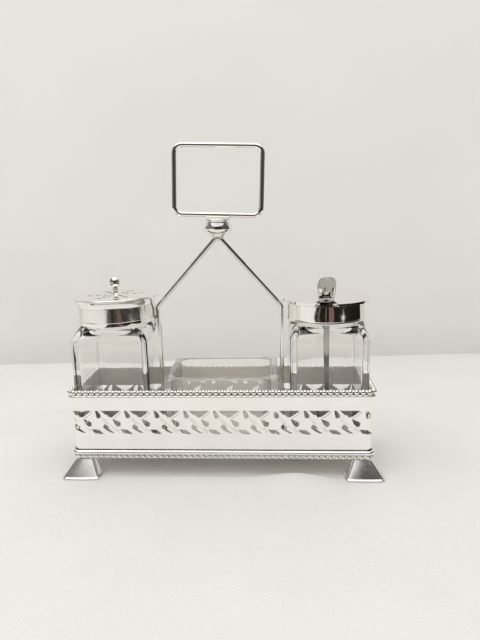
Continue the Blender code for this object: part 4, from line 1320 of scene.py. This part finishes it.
def plaster_material():
    """A painted wall with painted shade, a little darker towards the table. From behind it is clear, and
    hides nothing.
    """
    made, nodes = new_material("plaster_wall")
    shader = nodes.shader
    shader.inputs["Roughness"].default_value = 0.95
    shader.inputs["Specular IOR Level"].default_value = 0.1
    tone = nodes.ramp(nodes.noise(0.01), ((0.3, (0.85, 0.835, 0.81)), (0.7, (0.88, 0.865, 0.84))))
    spot = nodes.add("ShaderNodeTexCoord")
    split = nodes.add("ShaderNodeSeparateXYZ")
    nodes.link(spot.outputs["Object"], split.inputs["Vector"])
    # Painted shade: the wall's colour darkens towards the table.
    shade = nodes.ramp(
        nodes.spread(split.outputs["Z"], 0.0, 1.0, 0.0, mm(WALL_PAINTED_SHADE_HEIGHT)),
        ((0.0, (0.86, 0.86, 0.86)), (0.25, (0.95, 0.95, 0.95)), (1.0, (1.0, 1.0, 1.0))),
    )
    mix = nodes.add("ShaderNodeMix", data_type="RGBA", blend_type="MULTIPLY")
    mix.inputs["Factor"].default_value = 1.0
    nodes.link(tone, mix.inputs[6])
    nodes.link(shade, mix.inputs[7])
    nodes.link(mix.outputs[2], shader.inputs["Base Color"])
    nodes.link(nodes.bump(nodes.noise(0.08, 4.0), 0.12, 0.3), shader.inputs["Normal"])
    side = nodes.add("ShaderNodeNewGeometry")
    clear = nodes.add("ShaderNodeBsdfTransparent")
    one_sided = nodes.add("ShaderNodeMixShader")
    nodes.link(side.outputs["Backfacing"], one_sided.inputs["Fac"])
    nodes.link(shader.outputs["BSDF"], one_sided.inputs[1])
    nodes.link(clear.outputs["BSDF"], one_sided.inputs[2])
    nodes.link(one_sided.outputs["Shader"], nodes.tree.nodes["Material Output"].inputs["Surface"])
    return made


def flag_material(name, colour):
    """A studio flag: it shows only in reflections."""
    made, nodes = new_material(name)
    nodes.shader.inputs["Base Color"].default_value = (*colour, 1.0)
    nodes.shader.inputs["Roughness"].default_value = 0.9
    nodes.shader.inputs["Specular IOR Level"].default_value = 0.0
    return made


def only_in_reflections(obj):
    obj.visible_camera = False
    obj.visible_diffuse = False
    obj.visible_shadow = False
    obj.visible_transmission = False


def level_flag(name, x_from, y_from, x_to, y_to, height, material):
    corners = ((x_from, y_from), (x_to, y_from), (x_to, y_to), (x_from, y_to))
    only_in_reflections(stage_plane(name, [(x, y, height) for x, y in corners], material))


def build_stage():
    """Cloth and backdrop, and the dark flags round them."""
    cloth = cloth_material()
    left = (-STAGE_REACH, WALL_Y - STAGE_REACH * WALL_SLOPE)
    right = (STAGE_REACH, WALL_Y + STAGE_REACH * WALL_SLOPE)
    near = ((left[0], -STAGE_REACH, FLOOR), (right[0], -STAGE_REACH, FLOOR))
    stage_plane("floor", (*near, (*right, FLOOR), (*left, FLOOR)), cloth)
    build_fold(cloth)
    upright = ((*left, FLOOR), (*right, FLOOR), (*right, STAGE_REACH), (*left, STAGE_REACH))
    stage_plane("backdrop", upright, plaster_material())
    dark = flag_material("flag_dark", (0.012, 0.010, 0.008))
    brown = flag_material("flag_brown", (0.17, 0.11, 0.10))
    level_flag("flag_front", -190, -FLAG_REACH, FLAG_SIDE_X, FLAG_FRONT_Y, FLAG_HEIGHT, dark)
    level_flag("flag_side", FLAG_SIDE_X, -FLAG_REACH, FLAG_REACH, SIDE_WALL_Y[1], FLAG_HEIGHT, dark)
    stripe_end = FLAG_FRONT_Y - STRIPE_SETBACK
    for number, (x_from, x_to) in enumerate(STRIPES):
        level_flag("flag_stripe_%d" % number, x_from, -FLAG_REACH, x_to, stripe_end, STRIPE_HEIGHT, brown)
    (y_from, y_to), (z_from, z_to) = SIDE_WALL_Y, SIDE_WALL_Z
    for side, x, colour in SIDE_WALLS:
        name = "flag_wall_" + side
        corners = ((x, y_from, z_from), (x, y_to, z_from), (x, y_to, z_to), (x, y_from, z_to))
        only_in_reflections(stage_plane(name, corners, flag_material(name, colour)))
    build_dark_room()


def fold_rise(x, y):
    """Height of the cloth over the table: steep behind the crest, gentle in front of it, flat by the feet."""
    crest = FOLD_CREST + FOLD_SWELL * hump(x, FOLD_SWELL_X, FOLD_SWELL_WIDTH)
    ends = max(0.0, 1.0 - (abs(x) / FOLD_HALF) ** 8)
    return crest * ends * hump(y, FOLD_Y, FOLD_REAR if y > FOLD_Y else FOLD_FRONT)


def build_fold(cloth):
    """The cloth is pushed up in a low fold along the front edge, between the feet."""
    rows, columns = FOLD_STEPS
    low_y, high_y = FOLD_Y - FOLD_REACH * FOLD_FRONT, FOLD_Y + FOLD_REACH * FOLD_REAR
    points = []
    for row in range(rows + 1):
        y = low_y + (high_y - low_y) * row / rows
        for column in range(columns + 1):
            x = FOLD_HALF * (2 * column / columns - 1)
            points.append(vec(x, y, FLOOR + WELD + fold_rise(x, y)))
    fold = stage_mesh("cloth_fold", points, grid_faces(rows, columns), cloth)
    fold.data.polygons.foreach_set("use_smooth", [True] * len(fold.data.polygons))


def build_dark_room():
    """The unlit room behind the camera: a curved screen that only reflections see."""
    points = []
    for share, reach in ROOM_ROWS:
        for step in range(ROOM_STEPS + 1):
            along = step / ROOM_STEPS
            height = share * (ROOM_HEIGHT[0] + (ROOM_HEIGHT[1] - ROOM_HEIGHT[0]) * along)
            angle = math.radians(ROOM_ARC[0] + (ROOM_ARC[1] - ROOM_ARC[0]) * along)
            radius = ROOM_RADIUS * reach
            points.append(vec(radius * math.cos(angle), radius * math.sin(angle), height))
    faces = grid_faces(len(ROOM_ROWS) - 1, ROOM_STEPS)
    room = flag_material("flag_room", (0.035, 0.030, 0.026))
    only_in_reflections(stage_mesh("flag_room", points, faces, room))


def build_lights():
    """An even sky, a little darker low down, and a large soft lamp overhead."""
    world = bpy.data.worlds.new("studio")
    bpy.context.scene.world = world
    world.use_nodes = True
    sky = Nodes(world, "Background")
    split = sky.add("ShaderNodeSeparateXYZ")
    sky.link(sky.add("ShaderNodeTexCoord").outputs["Generated"], split.inputs["Vector"])
    tone = sky.ramp(split.outputs["Z"], ((0.0, SKY_LOW), (SKY_HIGH_FROM, SKY_HIGH)))
    sky.link(tone, sky.shader.inputs["Color"])
    sky.shader.inputs["Strength"].default_value = SKY_STRENGTH
    data = bpy.data.lights.new("softbox", "AREA")
    data.shape = "RECTANGLE"
    data.size, data.size_y = (mm(side) for side in SOFTBOX_SIZE)
    data.energy = SOFTBOX_WATTS
    data.color = (1.0, 0.99, 0.97)
    softbox = link(bpy.data.objects.new("softbox", data))
    softbox.location = vec(*SOFTBOX_PLACE)
    softbox.rotation_euler = (*(math.radians(turn) for turn in SOFTBOX_TURN), 0.0)
    bpy.context.scene.view_settings.view_transform = "Standard"


build_wall()
build_rim()
build_border()
build_feet()
build_handle()
build_jar("pepper_jar_glass", "pepper_jar", "pepper_pot")
build_jar("mustard_jar_glass", "mustard_jar", "mustard_pot")
build_salt()
build_pepper_cap()
build_mustard_top()
build_spoon()
finish_kept_nodes()
build_camera()
build_stage()
build_lights()
